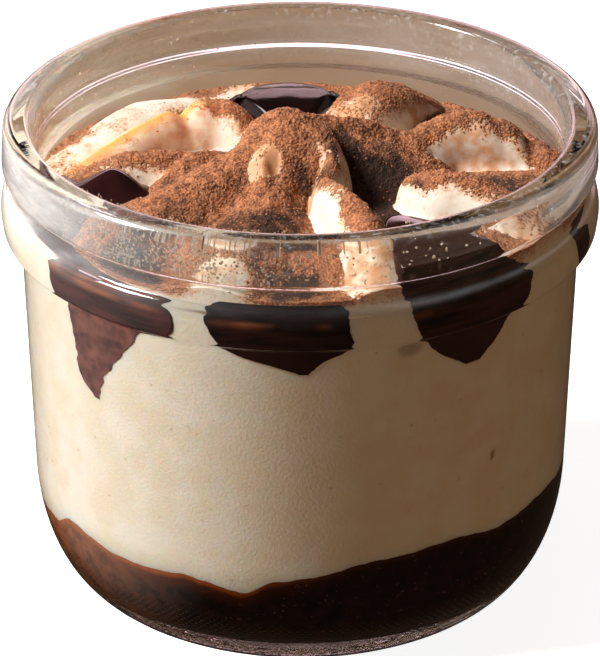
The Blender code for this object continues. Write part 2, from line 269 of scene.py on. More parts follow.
@dataclass(frozen=True)
class PressedGlass(Finish):
    """Soda-lime glass pressed in a mould: clear and hard, faintly wavy at the mouth.

    A damp haze and a film of cocoa dust dull the lip, and fine stipples ring the foot.
    """

    name: str = "pressed_soda_lime_glass"
    roughness: float = 0.0
    ior: float = 1.5
    clear: str = "#FBFCFA"
    film: str = "#C9A581"
    film_share: float = 0.28
    haze: str = "#F1E9DF"
    wave_mm: float = 0.025
    stipple_mm: float = 1.1
    stipple_ring_mm: float = 35.0
    stipple_deep_mm: float = 0.05

    def material(self) -> bpy.types.Material:
        """Build the glass.

        Returns:
            The material.
        """
        material, tree, shader, at = self.start()
        height = add_node(tree, SPLIT, (at,)).outputs["Z"]
        lip = add_node(tree, RANGE, (height, 0.0645, 0.070), **EASED)
        flat = add_node(tree, "ShaderNodeMapping", {"Vector": at, "Scale": (0.22, 0.22, 1.0)})
        streaks = add_node(tree, NOISE, (flat, per_metre(1.3), 1.0, FINER))
        dots = add_node(tree, NOISE, (at, per_metre(0.9), 4.0, FINER))
        specks = add_node(tree, RANGE, (dots, 0.5, 0.72), **EASED)
        film = add_node(tree, MATH, (lip, specks), operation="MULTIPLY")
        film = add_node(tree, MATH, (film, self.film_share), operation="MULTIPLY")
        smear = add_node(tree, NOISE, (flat, per_metre(2.2), 4.0, FINER))
        smear = add_node(tree, RANGE, (smear, 0.3, 0.7, 0.35, 1.0), **EASED)
        haze_and_painted_shade = add_node(tree, STORED, attribute_name="haze").outputs["Fac"]
        haze = add_node(tree, MATH, (haze_and_painted_shade, smear), operation="MULTIPLY")
        colour = add_node(tree, MIX, (film, linear(self.clear), linear(self.film)), **COLOURS)
        colour = add_node(tree, MIX, (haze, colour, linear(self.haze)), **COLOURS)
        dull = add_node(tree, MATH, (film, haze), operation="MAXIMUM")
        clear = add_node(tree, MATH, (1.0, dull), operation="SUBTRACT")
        deep = self.stipple_deep_mm / self.wave_mm
        relief = add_node(tree, MATH, (self.stipples(tree, at), deep), operation="MULTIPLY")
        relief = add_node(tree, MATH, (streaks, relief), operation="ADD")
        bump = add_node(tree, BUMP, {"Height": relief, "Distance": self.wave_mm * MM,
                                     "Strength": 1.0})
        feed(shader, {"Base Color": colour, "Transmission Weight": clear, "Normal": bump})
        self.let_lamps_through(tree, shader)
        return material

    def stipples(self, tree: bpy.types.NodeTree, at: bpy.types.NodeSocket) -> bpy.types.Node:
        """Return the grid of little bumps that rings the foot.

        Args:
            tree: the material's tree.
            at: the piece's coordinates.

        Returns:
            Heights from 0 to 1, all 0 above the foot.
        """
        parts = add_node(tree, SPLIT, (at,)).outputs
        turn = add_node(tree, MATH, (parts["Y"], parts["X"]), operation="ARCTAN2")
        columns = round(2 * math.pi * self.stipple_ring_mm / self.stipple_mm)
        rows = 2 * math.pi * per_metre(self.stipple_mm)
        waves = []
        for value, often in ((turn, columns), (parts["Z"], rows)):
            phase = add_node(tree, MATH, (value, often), operation="MULTIPLY")
            waves.append(add_node(tree, MATH, (phase,), operation="SINE"))
        grid = add_node(tree, MATH, tuple(waves), operation="MULTIPLY")
        grid = add_node(tree, RANGE, (grid, 0.1, 0.8), **EASED)
        foot = add_node(tree, RANGE, (parts["Z"], 0.008, 0.013, 1.0, 0.0), **EASED)
        return add_node(tree, MATH, (grid, foot), operation="MULTIPLY")

    def let_lamps_through(self, tree: bpy.types.NodeTree, shader: bpy.types.Node) -> None:
        """Make the glass clear for shadow and diffuse rays, so that lamps reach the food.

        Args:
            tree: the material's tree.
            shader: the glass.
        """
        rays = add_node(tree, "ShaderNodeLightPath").outputs
        share = add_node(tree, MATH, (rays["Is Shadow Ray"], rays["Is Diffuse Ray"]),
                         operation="MAXIMUM")
        clear = add_node(tree, "ShaderNodeBsdfTransparent", {"Color": linear(self.clear)})
        both = add_node(tree, "ShaderNodeMixShader", {0: share, 1: shader, 2: clear})
        feed(tree.nodes["Material Output"], {"Surface": both})


@dataclass(frozen=True)
class WhippedCream(Finish):
    """Dense mascarpone cream pressed to the glass: matt, ivory, with tiny tan flecks."""

    name: str = "mascarpone_cream"
    roughness: float = 0.55
    pale: str = "#F6E9D6"
    deep: str = "#F0E0C6"
    fleck: str = "#B98F5B"
    spot: str = "#A67A3A"
    smudge: str = "#8F8378"
    grain_deep_mm: float = 0.06

    def tone(self, tree: bpy.types.NodeTree, at: bpy.types.NodeSocket) -> bpy.types.Node:
        """Return the cream's mottled colour with its flecks.

        Args:
            tree: the material's tree.
            at: the piece's coordinates.

        Returns:
            The colour.
        """
        soft = add_node(tree, NOISE, (at, per_metre(6.0), 3.0, FINER))
        share = add_node(tree, RANGE, (soft, 0.35, 0.65), **EASED)
        base = add_node(tree, MIX, (share, linear(self.pale), linear(self.deep)), **COLOURS)
        small = add_node(tree, NOISE, (at, per_metre(1.5), 2.0, FINER))
        flecks = add_node(tree, RANGE, (small, 0.69, 0.8, 0.0, 0.55), **EASED)
        return add_node(tree, MIX, (flecks, base, linear(self.fleck)), **COLOURS)

    def soften(self, shader: bpy.types.Node) -> None:
        """Let light a little way into the cream."""
        feed(shader, {"Subsurface Weight": 0.45, "Subsurface Radius": (1.0, 0.55, 0.28),
                      "Subsurface Scale": 5.0 * MM})

    def material(self) -> bpy.types.Material:
        """Build the cream, with the few marks that the glass shows.

        Returns:
            The material.
        """
        material, tree, shader, at = self.start()
        colour = self.tone(tree, at)
        for name, code in (("spot", self.spot), ("smudge", self.smudge)):
            share = add_node(tree, STORED, attribute_name=name).outputs["Fac"]
            colour = add_node(tree, MIX, (share, colour, linear(code)), **COLOURS)
        self.soften(shader)
        pores = add_node(tree, NOISE, (at, per_metre(0.5), 2.0, FINER))
        bump = add_node(tree, BUMP, {"Height": pores, "Distance": self.grain_deep_mm * MM,
                                     "Strength": 1.0})
        feed(shader, {"Base Color": colour, "Normal": bump, "Specular IOR Level": 0.05})
        return material


@dataclass(frozen=True)
class DustedCream(WhippedCream):
    """Piped cream under sifted cocoa: bare on steep sides, matt brown powder on top.

    Where the powder thins out it stains the cream orange and breaks up into grains. Light is
    painted on it too: an amber glow along one rib's crest, near-black shade on the cocoa in the
    valleys, and the same tan as painted shade and glow on some rib faces.
    """

    name: str = "cocoa_dusted_cream"
    # Tan of real stain from juice and thin cocoa, which is also laid on some rib faces as painted
    # shade and painted warm glow
    tan_tint_and_painted_light: str = "#D9935A"
    light: str = "#CC8355"
    dark: str = "#603823"
    # Near-black that paints shade onto the cocoa in the valleys
    painted_shade_colour: str = "#1A0E09"
    # Amber painted glow along a thin rib, which stands in for light shining through the cream
    painted_glow: str = "#DFA238"
    powder_deep_mm: float = 0.75

    def material(self) -> bpy.types.Material:
        """Build the cream and its dust from the piece's stored shares.

        Returns:
            The material.
        """
        material, tree, shader, at = self.start()
        cocoa, stored_tint_and_painted_light, haze_and_painted_shade, painted_glow_share, thin = (
            add_node(tree, STORED, attribute_name=name).outputs["Fac"]
            for name in ("cocoa", "tint_and_painted_light", "haze_and_painted_shade", "painted_glow", "thin"))
        fine = add_node(tree, NOISE, (at, per_metre(0.6), 5.0, FINER))
        coarse = add_node(tree, NOISE, (at, per_metre(1.9), 4.0, FINER))
        cells = add_node(tree, "ShaderNodeTexVoronoi", {"Vector": at, "Scale": per_metre(0.42)})
        granules = add_node(tree, RANGE, (cells, 0.1, 0.8, 1.0, 0.0), **EASED)
        both = add_node(tree, MATH, (fine, 0.45), operation="MULTIPLY")
        for layer, weight in ((coarse, 0.4), (granules, 0.15)):
            both = add_node(tree, MATH, (layer, weight, both), operation="MULTIPLY_ADD")
        # Each share swings with a noise's height about its middle
        dust, spread_tint_and_painted_light, painted_shade = (
            add_node(tree, MATH, (add_node(tree, MATH, (height, 0.5), operation="SUBTRACT"),
                                  swing, share), operation="MULTIPLY_ADD")
            for height, swing, share in ((both, 1.7, cocoa), (coarse, 1.2, stored_tint_and_painted_light),
                                         (fine, 1.2, haze_and_painted_shade)))
        dust = add_node(tree, MATH, (stored_tint_and_painted_light, -0.35, dust), operation="MULTIPLY_ADD")
        cover = add_node(tree, RANGE, (dust, 0.42, 0.62), **EASED)
        spread_tint_and_painted_light = add_node(tree, RANGE, (spread_tint_and_painted_light, 0.1, 0.8, 0.0, 0.9), **EASED)
        tint_and_painted_light = add_node(tree, RANGE, (dust, 0.0, 0.5, 0.0, 0.8), **EASED)
        tint_and_painted_light = add_node(tree, MATH, (tint_and_painted_light, spread_tint_and_painted_light), operation="MAXIMUM")
        powder = add_node(tree, RAMP, (both,), stops=((0.36, self.dark), (0.58, self.light)))
        # Painted shade: the powder turns near-black where the stored share is high, standing in
        # for the shade in valleys and at the feet of ribs
        painted_shade = add_node(tree, RANGE, (painted_shade, 0.1, 0.8, 0.0, 0.92), **EASED)
        powder = add_node(tree, MIX, (painted_shade, powder, linear(self.painted_shade_colour)), **COLOURS)
        colour = self.tone(tree, at)
        # The amber is a painted glow, and the tan is partly real stain and partly painted shade
        # and glow
        for share, coat in ((painted_glow_share, linear(self.painted_glow)), (tint_and_painted_light, linear(self.tan_tint_and_painted_light)),
                            (cover, powder)):
            colour = add_node(tree, MIX, (share, colour, coat), **COLOURS)
        rough = add_node(tree, RANGE, (cover, 0.0, 1.0, self.roughness, 0.95), **EASED)
        weight = add_node(tree, RANGE, (thin, 0.0, 1.0, 0.25, 0.9), **EASED)
        deep = add_node(tree, RANGE, (thin, 0.0, 1.0, 1.6 * MM, 6.0 * MM), **EASED)
        relief = add_node(tree, MATH, (both, cover), operation="MULTIPLY")
        bump = add_node(tree, BUMP, {"Height": relief, "Distance": self.powder_deep_mm * MM,
                                     "Strength": 1.0})
        self.soften(shader)
        feed(shader, {"Base Color": colour, "Roughness": rough, "Subsurface Weight": weight,
                      "Subsurface Scale": deep, "Normal": bump})
        return material


@dataclass(frozen=True)
class CocoaGrain(Finish):
    """Single clots of cocoa powder: dry, dull and dark to reddish brown."""

    name: str = "cocoa_powder"
    roughness: float = 0.95
    dark: str = "#945836"
    light: str = "#D08A5C"

    def material(self) -> bpy.types.Material:
        """Build the powder, each clot a little different.

        Returns:
            The material.
        """
        material, tree, shader, at = self.start()
        grain = add_node(tree, NOISE, (at, per_metre(0.8), 2.0, FINER))
        tone = add_node(tree, RAMP, (grain,), stops=((0.35, self.dark), (0.65, self.light)))
        feed(shader, {"Base Color": tone})
        return material


@dataclass(frozen=True)
class GlassDust(CocoaGrain):
    """Cocoa flakes that stuck to the damp inside of the glass: thin, pale tan, lit through."""

    name: str = "cocoa_flakes_on_glass"
    dark: str = "#B98A62"
    light: str = "#DFB88F"

    def material(self) -> bpy.types.Material:
        """Build the flakes, which let the light from inside the cup through."""
        material = super().material()
        feed(material.node_tree.nodes["Principled BSDF"],
             {"Subsurface Weight": 1.0, "Subsurface Radius": (1.0, 0.8, 0.6),
              "Subsurface Scale": 0.6 * MM})
        return material


@dataclass(frozen=True)
class CoffeeSponge(Finish):
    """Sponge soaked with coffee: near-black brown, moist, orange where it thins at its edge."""

    name: str = "coffee_soaked_sponge"
    roughness: float = 0.4
    deep: str = "#110805"
    brown: str = "#27120A"
    red: str = "#6A2C12"
    fringe: str = "#A8561C"
    streak: str = "#7A5A4A"
    warm: str = "#A8663F"

    def material(self) -> bpy.types.Material:
        """Build the sponge, its colour driven by the depth below its edge and by painted light
        that makes its left side redder and warmer.

        Returns:
            The material.
        """
        material, tree, shader, at = self.start()
        mottle = add_node(tree, NOISE, (at, per_metre(2.4), 4.0, FINER))
        swing = add_node(tree, MATH, (mottle, 0.5), operation="SUBTRACT")
        below = add_node(tree, STORED, attribute_name="depth").outputs["Fac"]
        depth = add_node(tree, MATH, (swing, 1.4, below), operation="MULTIPLY_ADD")
        across = add_node(tree, SPLIT, (at,)).outputs["X"]
        # Painted light: the red tinge and the orange edge are strongest on the lamp's side at the
        # left and fade towards the right, and a warm lit colour is painted on the left side
        painted_light_side = add_node(tree, RANGE, (across, -0.030, 0.010, 1.0, 0.1), **EASED)
        red = add_node(tree, RANGE, (depth, 0.4, 3.4, 0.7, 0.0), **EASED)
        edge = add_node(tree, RANGE, (depth, 0.15, 1.1, 1.0, 0.0), **EASED)
        lit = add_node(tree, RANGE, (across, -0.037, -0.014, 0.85, 0.0), **EASED)
        broken = add_node(tree, RANGE, (mottle, 0.35, 0.62, 0.45, 1.0), **EASED)
        red, edge, lit = (add_node(tree, MATH, pair, operation="MULTIPLY")
                          for pair in ((painted_light_side, red), (painted_light_side, edge), (lit, broken)))
        small = add_node(tree, NOISE, (at, per_metre(0.7), 2.0, FINER))
        crumbs = add_node(tree, RANGE, (small, 0.66, 0.76, 0.0, 0.5), **EASED)
        colour = add_node(tree, RAMP, (mottle,), stops=((0.35, self.deep), (0.7, self.brown)))
        for share, code in ((red, self.red), (edge, self.fringe), (crumbs, self.streak),
                            (lit, self.warm)):
            colour = add_node(tree, MIX, (share, colour, linear(code)), **COLOURS)
        feed(shader, {"Base Color": colour, "Specular IOR Level": 0.03})
        return material


class SauceLook(Enum):
    """How the chocolate sauce shows: open to the air, or pressed to the glass."""

    OPEN = "glossy_chocolate_sauce"
    ON_GLASS = "chocolate_sauce_on_glass"


@dataclass(frozen=True)
class ChocolateSauce(Finish):
    """Chocolate sauce: dark, smooth and wet, with a red tinge where the layer is thin."""

    look: SauceLook = SauceLook.OPEN
    deep: str = "#180A08"
    thin: str = "#43221C"
    drip: str = "#43221C"
    # Painted glow: amber that stands in for light through the thin top edge of the sauce
    painted_glow: str = "#C0703A"
    pool: str = "#2A1312"
    open_deep: str = "#100606"
    open_light: str = "#1C0C0A"
    wet_roughness: float = 0.1
    ior: float = 1.48

    def material(self) -> bpy.types.Material:
        """Build the sauce for how it shows.

        Returns:
            The material.
        """
        material, tree, shader, at = self.start()
        material.name = self.look.value
        if self.look is SauceLook.OPEN:
            soft = add_node(tree, NOISE, (at, per_metre(5.0), 2.0, FINER))
            colour = add_node(tree, RAMP, (soft,),
                              stops=((0.3, self.open_deep), (0.8, self.open_light)))
            feed(shader, {"Base Color": colour, "Roughness": self.wet_roughness})
        else:
            self.press_to_glass(tree, shader, at)
        return material

    def press_to_glass(self, tree: bpy.types.NodeTree, shader: bpy.types.Node,
                       at: bpy.types.NodeSocket) -> None:
        """Colour the sauce behind the glass, with its open top wet and plain.

        Args:
            tree: the material's tree.
            shader: the sauce.
            at: the piece's coordinates.
        """
        flat = add_node(tree, "ShaderNodeMapping", {"Vector": at, "Scale": (0.12, 0.12, 1.0)})
        streaks = add_node(tree, NOISE, (flat, per_metre(0.9), 3.0, FINER))
        spots = add_node(tree, NOISE, (at, per_metre(3.2), 4.0, FINER))
        patches = add_node(tree, NOISE, (at, per_metre(11.0), 1.0, FINER))
        colour = add_node(tree, RAMP, (streaks,), stops=((0.35, self.deep), (0.62, self.thin)))
        blotches = add_node(tree, RAMP, (spots,), stops=((0.35, self.thin), (0.6, self.drip)))
        height = add_node(tree, SPLIT, (at,)).outputs["Z"]
        below = add_node(tree, RANGE, (height, 0.0572, 0.0584, 0.85, 0.0), **EASED)
        # The stored amber share is a painted glow near the top edge, broken into patches and
        # streaks
        line, free = (add_node(tree, STORED, attribute_name=name).outputs["Fac"]
                      for name in ("painted_glow", "open"))
        for factor in (add_node(tree, RANGE, (patches, 0.5, 0.66), **EASED), streaks):
            line = add_node(tree, MATH, (line, factor), operation="MULTIPLY")
        for share, coat in ((below, blotches), (line, linear(self.painted_glow)),
                            (free, linear(self.pool))):
            colour = add_node(tree, MIX, (share, colour, coat), **COLOURS)
        rough = add_node(tree, RANGE, (free, 0.0, 1.0, 0.35, self.wet_roughness), **EASED)
        feed(shader, {"Base Color": colour, "Roughness": rough, "Coat Weight": free,
                      "Coat Roughness": 0.08, "Specular IOR Level": 0.06})


# The glass

@dataclass(frozen=True)
class Jar:
    """The turned glass wall, from its foot ring to the lip that a clamped lid sits on."""

    rim_z: float = 76.4
    mouth_radius: float = 41.4
    rim_flat_radius: float = 44.2
    lip_top: tuple[float, float] = (45.3, 75.4)
    lip_low: tuple[float, float] = (45.6, 69.4)
    neck_radius: float = 44.1
    flange_top_z: float = 65.6
    flange: tuple[float, float] = (46.0, 62.6)
    flange_low: tuple[float, float] = (45.6, 59.4)
    body_top: tuple[float, float] = (43.0, 58.0)
    body_low_radius: float = 41.9
    corner_z: float = 19.5
    foot_radius: float = 32.3
    punt_radius: float = 28.5
    punt_rise: float = 0.9
    inner_top: tuple[float, float] = (40.6, 74.4)
    inner_mid: tuple[float, float] = (40.2, 58.0)
    inner_low: tuple[float, float] = (39.1, 20.0)
    floor: tuple[float, float] = (29.5, 4.6)
    segments: int = 224

    def wall(self, z: np.ndarray) -> np.ndarray:
        """Return the inner radius at a height.

        Args:
            z: heights.

        Returns:
            The glass wall's inner radii there.
        """
        z = np.asarray(z, float)
        top = np.interp(z, (self.inner_mid[1], self.inner_top[1]),
                        (self.inner_mid[0], self.inner_top[0]))
        body = np.interp(z, (self.inner_low[1], self.inner_mid[1]),
                         (self.inner_low[0], self.inner_mid[0]))
        drop = np.clip((self.inner_low[1] - z) / (self.inner_low[1] - self.floor[1]), 0.0, 1.0)
        corner = self.floor[0] + (self.inner_low[0] - self.floor[0]) * np.sqrt(1.0 - drop ** 2)
        below = np.where(z >= self.inner_low[1], body, corner)
        return np.where(z >= self.inner_mid[1], top, below)

    def arc(self, centre: tuple[float, float], size: tuple[float, float], start: float,
            end: float, steps: int) -> list[tuple[float, float]]:
        """Return an elliptical arc of the section.

        Args:
            centre: its middle as radius and height.
            size: its half width and half height.
            start: the first angle.
            end: the last angle.
            steps: how many points it has.

        Returns:
            The points.
        """
        turns = np.radians(np.linspace(start, end, steps))
        return [(centre[0] + size[0] * math.cos(t), centre[1] + size[1] * math.sin(t))
                for t in turns]

    def rounded(self, corners: list[tuple[float, float, float]]) -> list[tuple[float, float]]:
        """Round a line of corners.

        Args:
            corners: radius, height and the length that the rounding takes from each side.

        Returns:
            The rounded line.
        """
        line: list[tuple[float, float]] = [corners[0][:2]]
        for before, corner, after in zip(corners, corners[1:], corners[2:]):
            at = np.array(corner[:2])
            to_before, to_after = np.array(before[:2]) - at, np.array(after[:2]) - at
            longest = 0.48 * min(np.hypot(*to_before), np.hypot(*to_after))
            take = min(corner[2], longest)
            first = at + to_before / np.hypot(*to_before) * take
            last = at + to_after / np.hypot(*to_after) * take
            for share in np.linspace(0.0, 1.0, 6):
                point = (1 - share) ** 2 * first + 2 * share * (1 - share) * at + share ** 2 * last
                line.append((float(point[0]), float(point[1])))
        line.append(corners[-1][:2])
        return line

    def section(self) -> list[tuple[float, float]]:
        """Return the wall's section, from under the foot, up outside and down inside."""
        foot = [(0.0, self.punt_rise, 0.0), (self.punt_radius, self.punt_rise, 1.0),
                (self.punt_radius + 1.2, 0.0, 0.5), (self.foot_radius, 0.0, 0.4)]
        corner = self.arc((self.foot_radius, self.corner_z),
                          (self.body_low_radius - self.foot_radius, self.corner_z), -90, 0, 22)
        upper = [(*corner[-1], 0.0), (*self.body_top, 1.0),
                 (self.flange_low[0] - 0.9, self.flange_low[1] - 0.5, 0.7),
                 (*self.flange_low, 0.5), (*self.flange, 2.0),
                 (self.flange[0] - 0.6, self.flange_top_z - 0.6, 0.9),
                 (self.neck_radius + 0.3, self.flange_top_z, 0.7),
                 (self.neck_radius, self.flange_top_z + 1.5, 0.8),
                 (self.neck_radius + 0.2, self.lip_low[1] - 0.8, 0.5),
                 (*self.lip_low, 0.8), (*self.lip_top, 1.5),
                 (self.rim_flat_radius, self.rim_z, 0.9),
                 (self.mouth_radius, self.rim_z, 0.7), (*self.inner_top, 1.4),
                 (*self.inner_mid, 2.0), (*self.inner_low, 0.0)]
        inner = self.arc((self.floor[0], self.inner_low[1]),
                         (self.inner_low[0] - self.floor[0], self.inner_low[1] - self.floor[1]),
                         0, -90, 20)
        return self.rounded(foot)[1:] + corner[1:-1] + self.rounded(upper) + inner[1:]

    def build(self) -> bpy.types.Object:
        """Turn the section into the closed glass body.

        Returns:
            The glass.
        """
        line = np.array(self.section())
        degrees = np.arange(self.segments) * 360.0 / self.segments
        rings = polar(line[:, :1], degrees[None, :], line[:, 1:])
        item = loft("glass_jar", rings, (0.0, 0.0, self.punt_rise * MM),
                    (0.0, 0.0, self.floor[1] * MM))
        give_values(item, "haze", np.append(self.haze(line[:, 1:], degrees).ravel(), (0.0, 0.0)))
        return item

    def haze(self, z: np.ndarray, degrees: np.ndarray) -> np.ndarray:
        """Return how damp and dusty the glass is, most at the left of the lip.

        Args:
            z: heights.
            degrees: angles round the jar.

        Returns:
            Shares between 0 and 1.
        """
        turn = (degrees + 360.0) % 360.0 - 360.0
        left = np.exp(-((turn + 166.0) / 27.0) ** 2)
        front = -0.08 * np.exp(-((turn + 100.0) / 30.0) ** 2)
        behind = 0.3 * np.exp(-((turn + 225.0) / 34.0) ** 2)
        right = 0.12 * np.exp(-((turn + 15.0) / 40.0) ** 2)
        lip = smooth(62.4, 66.4, z) * (1.0 - smooth(74.0, 76.2, z))
        return np.clip((0.12 + 0.75 * left + front + behind + right) * lip, 0.0, 0.8)

    def dress(self, item: bpy.types.Object) -> None:
        """Give the glass its finish."""
        finish_piece(item, PressedGlass().material(), "glass", "jar")


# The food

@dataclass(frozen=True)
class Layers:
    """The soaked base and the deep cream, which meet along a wavy edge on the glass."""

    jar: Jar
    reach: float = 0.06
    segments: int = 360
    middle_z: float = 17.5
    cream_top: float = 62.5
    edge: tuple[tuple[float, float], ...] = (
        (-170.0, 13.6), (-158.0, 14.0), (-150.0, 16.8), (-134.0, 15.8), (-114.0, 16.2),
        (-102.0, 15.0), (-95.0, 17.6), (-74.0, 20.1), (-56.0, 20.9), (-40.0, 19.3),
        (-26.0, 20.0), (-8.0, 19.0), (15.0, 17.6), (45.0, 19.6), (80.0, 16.8),
        (110.0, 18.6), (145.0, 15.8),
    )

    def edge_height(self, degrees: np.ndarray) -> np.ndarray:
        """Return how high the soaked layer stands on the glass, with its small ragged steps."""
        spots = np.array([a for a, _ in self.edge])
        heights = np.array([z for _, z in self.edge])
        turn = (degrees - spots[0]) % 360.0
        at = np.append(spots - spots[0], 360.0)
        index = np.clip(np.searchsorted(at, turn, "right") - 1, 0, len(spots) - 1)
        share = (turn - at[index]) / (at[index + 1] - at[index])
        after = heights[(index + 1) % len(spots)]
        eased = share * share * (3.0 - 2.0 * share)
        level = heights[index] + (after - heights[index]) * eased
        radians = np.radians(degrees)
        ragged = clumps(25.0 * np.cos(radians), 25.0 * np.sin(radians), 3.2, 4.7, 4)
        return level + 0.45 * ragged

    def build_base(self) -> bpy.types.Object:
        """Build the soaked sponge as a closed body that meets the glass.

        Returns:
            The soaked base, with the depth below its edge stored on it.
        """
        degrees = np.arange(self.segments) * 360.0 / self.segments
        edge = self.edge_height(degrees)
        low = self.jar.floor[1] - self.reach
        rings, depth = [], []
        for share in np.sin(np.linspace(0.0, math.pi / 2, 40)) ** 1.6:
            z = low + (edge - low) * share
            rings.append(polar(self.jar.wall(z) + self.reach, degrees, z))
            depth.append(edge - z)
        for share in (0.98, 0.85, 0.5):
            rings.append(polar(share * (self.jar.wall(edge) + self.reach), degrees,
                               self.middle_z + (edge - self.middle_z) * share))
            depth.append(edge * 0.0)
        item = loft("soaked_base", np.array(rings), (0.0, 0.0, low * MM),
                    (0.0, 0.0, self.middle_z * MM))
        give_values(item, "depth", np.append(np.array(depth).ravel(), (5.0, 0.0)))
        return item

    def build_cream(self) -> bpy.types.Object:
        """Build the deep cream layer, which meets the base and the glass.

        Returns:
            The cream layer, with its marks stored on it.
        """
        degrees = np.arange(self.segments) * 360.0 / self.segments
        edge = self.edge_height(degrees)
        rings = [polar(share * self.jar.wall(edge), degrees,
                       self.middle_z + (edge - self.middle_z) * share - 0.05)
                 for share in (0.5, 0.85)]
        # Close pairs of rings at both ends keep the side's shading straight up to its edges
        for share in (0.0, 0.001, *np.linspace(0.02, 0.98, 58), 0.999, 1.0):
            z = edge + (self.cream_top - edge) * share
            rings.append(polar(self.jar.wall(z) + self.reach, degrees, z))
        rings.append(polar(20.0, degrees, np.full(self.segments, self.cream_top)))
        item = loft("cream_body", np.array(rings), (0.0, 0.0, self.middle_z * MM),
                    (0.0, 0.0, self.cream_top * MM))
        give_values(item, "spot", self.mark(item, -45.0, 33.1, 0.55, 0.95))
        give_values(item, "smudge", self.mark(item, -67.1, 56.2, 2.2, 1.6) * 0.6)
        return item

    def mark(self, item: bpy.types.Object, degrees: float, z: float, wide: float,
             high: float) -> np.ndarray:
        """Return how near each point is to a small oval mark on the glass.

        Args:
            item: the piece.
            degrees: the mark's angle.
            z: its height.
            wide: its half width.
            high: its half height.

        Returns:
            1 at the mark, falling to 0 round it.
        """
        count = len(item.data.vertices)
        places = np.zeros(count * 3)
        item.data.vertices.foreach_get("co", places)
        places = places.reshape(-1, 3) / MM
        turn = np.degrees(np.arctan2(places[:, 1], places[:, 0]))
        along = np.radians(turn - degrees) * np.hypot(places[:, 0], places[:, 1]) / wide
        up = (places[:, 2] - z) / high
        return 1.0 - smooth(0.5, 1.2, np.hypot(along, up))

    def dress(self, base: bpy.types.Object, cream: bpy.types.Object) -> None:
        """Give both layers their finishes."""
        finish_piece(base, CoffeeSponge().material(), "soaked_sponge", "coffee_layer")
        finish_piece(cream, WhippedCream().material(), "cream", "cream_layer")


@dataclass(frozen=True)
class Rib:
    """One pulled rib of cream.

    Each point of its line is a place, the height of the crest there and the half width.
    """

    line: tuple[tuple[float, float, float, float], ...]
    roundness: float = 0.56

    def samples(self, count: int = 48) -> np.ndarray:
        """Return rows of place, crest height and half width along a smooth line."""
        given = np.array(self.line)
        padded = np.vstack([2 * given[0] - given[1], given, 2 * given[-1] - given[-2]])
        at = np.linspace(0.0, len(given) - 1.000001, count)
        first = at.astype(int)
        t = (at - first)[:, None]
        p0, p1, p2, p3 = (padded[first + step] for step in range(4))
        return 0.5 * (2 * p1 + (p2 - p0) * t + (2 * p0 - 5 * p1 + 4 * p2 - p3) * t ** 2
                      + (3 * p1 - p0 - 3 * p2 + p3) * t ** 3)

    def rises(self, x: np.ndarray, y: np.ndarray, ground: np.ndarray) -> np.ndarray:
        """Return how far the rib stands above the ground at each place.

        Args:
            x: places along X.
            y: places along Y.
            ground: the height of the ground there.

        Returns:
            Heights, 0 beside the rib.
        """
        best = np.zeros(x.shape)
        for px, py, crest, half in self.samples():
            aside = np.hypot(x - px, y - py) / half
            section = np.clip(1.0 - aside * aside, 0.0, 1.0) ** self.roundness
            best = np.maximum(best, (crest - ground) * section)
        return best

    def nearness(self, x: np.ndarray, y: np.ndarray, half: float) -> np.ndarray:
        """Return 1 on the crest's line, falling to 0 at a distance."""
        away = np.min([np.hypot(x - row[0], y - row[1]) for row in self.samples(60)], axis=0)
        return 1.0 - smooth(0.0, half, away)


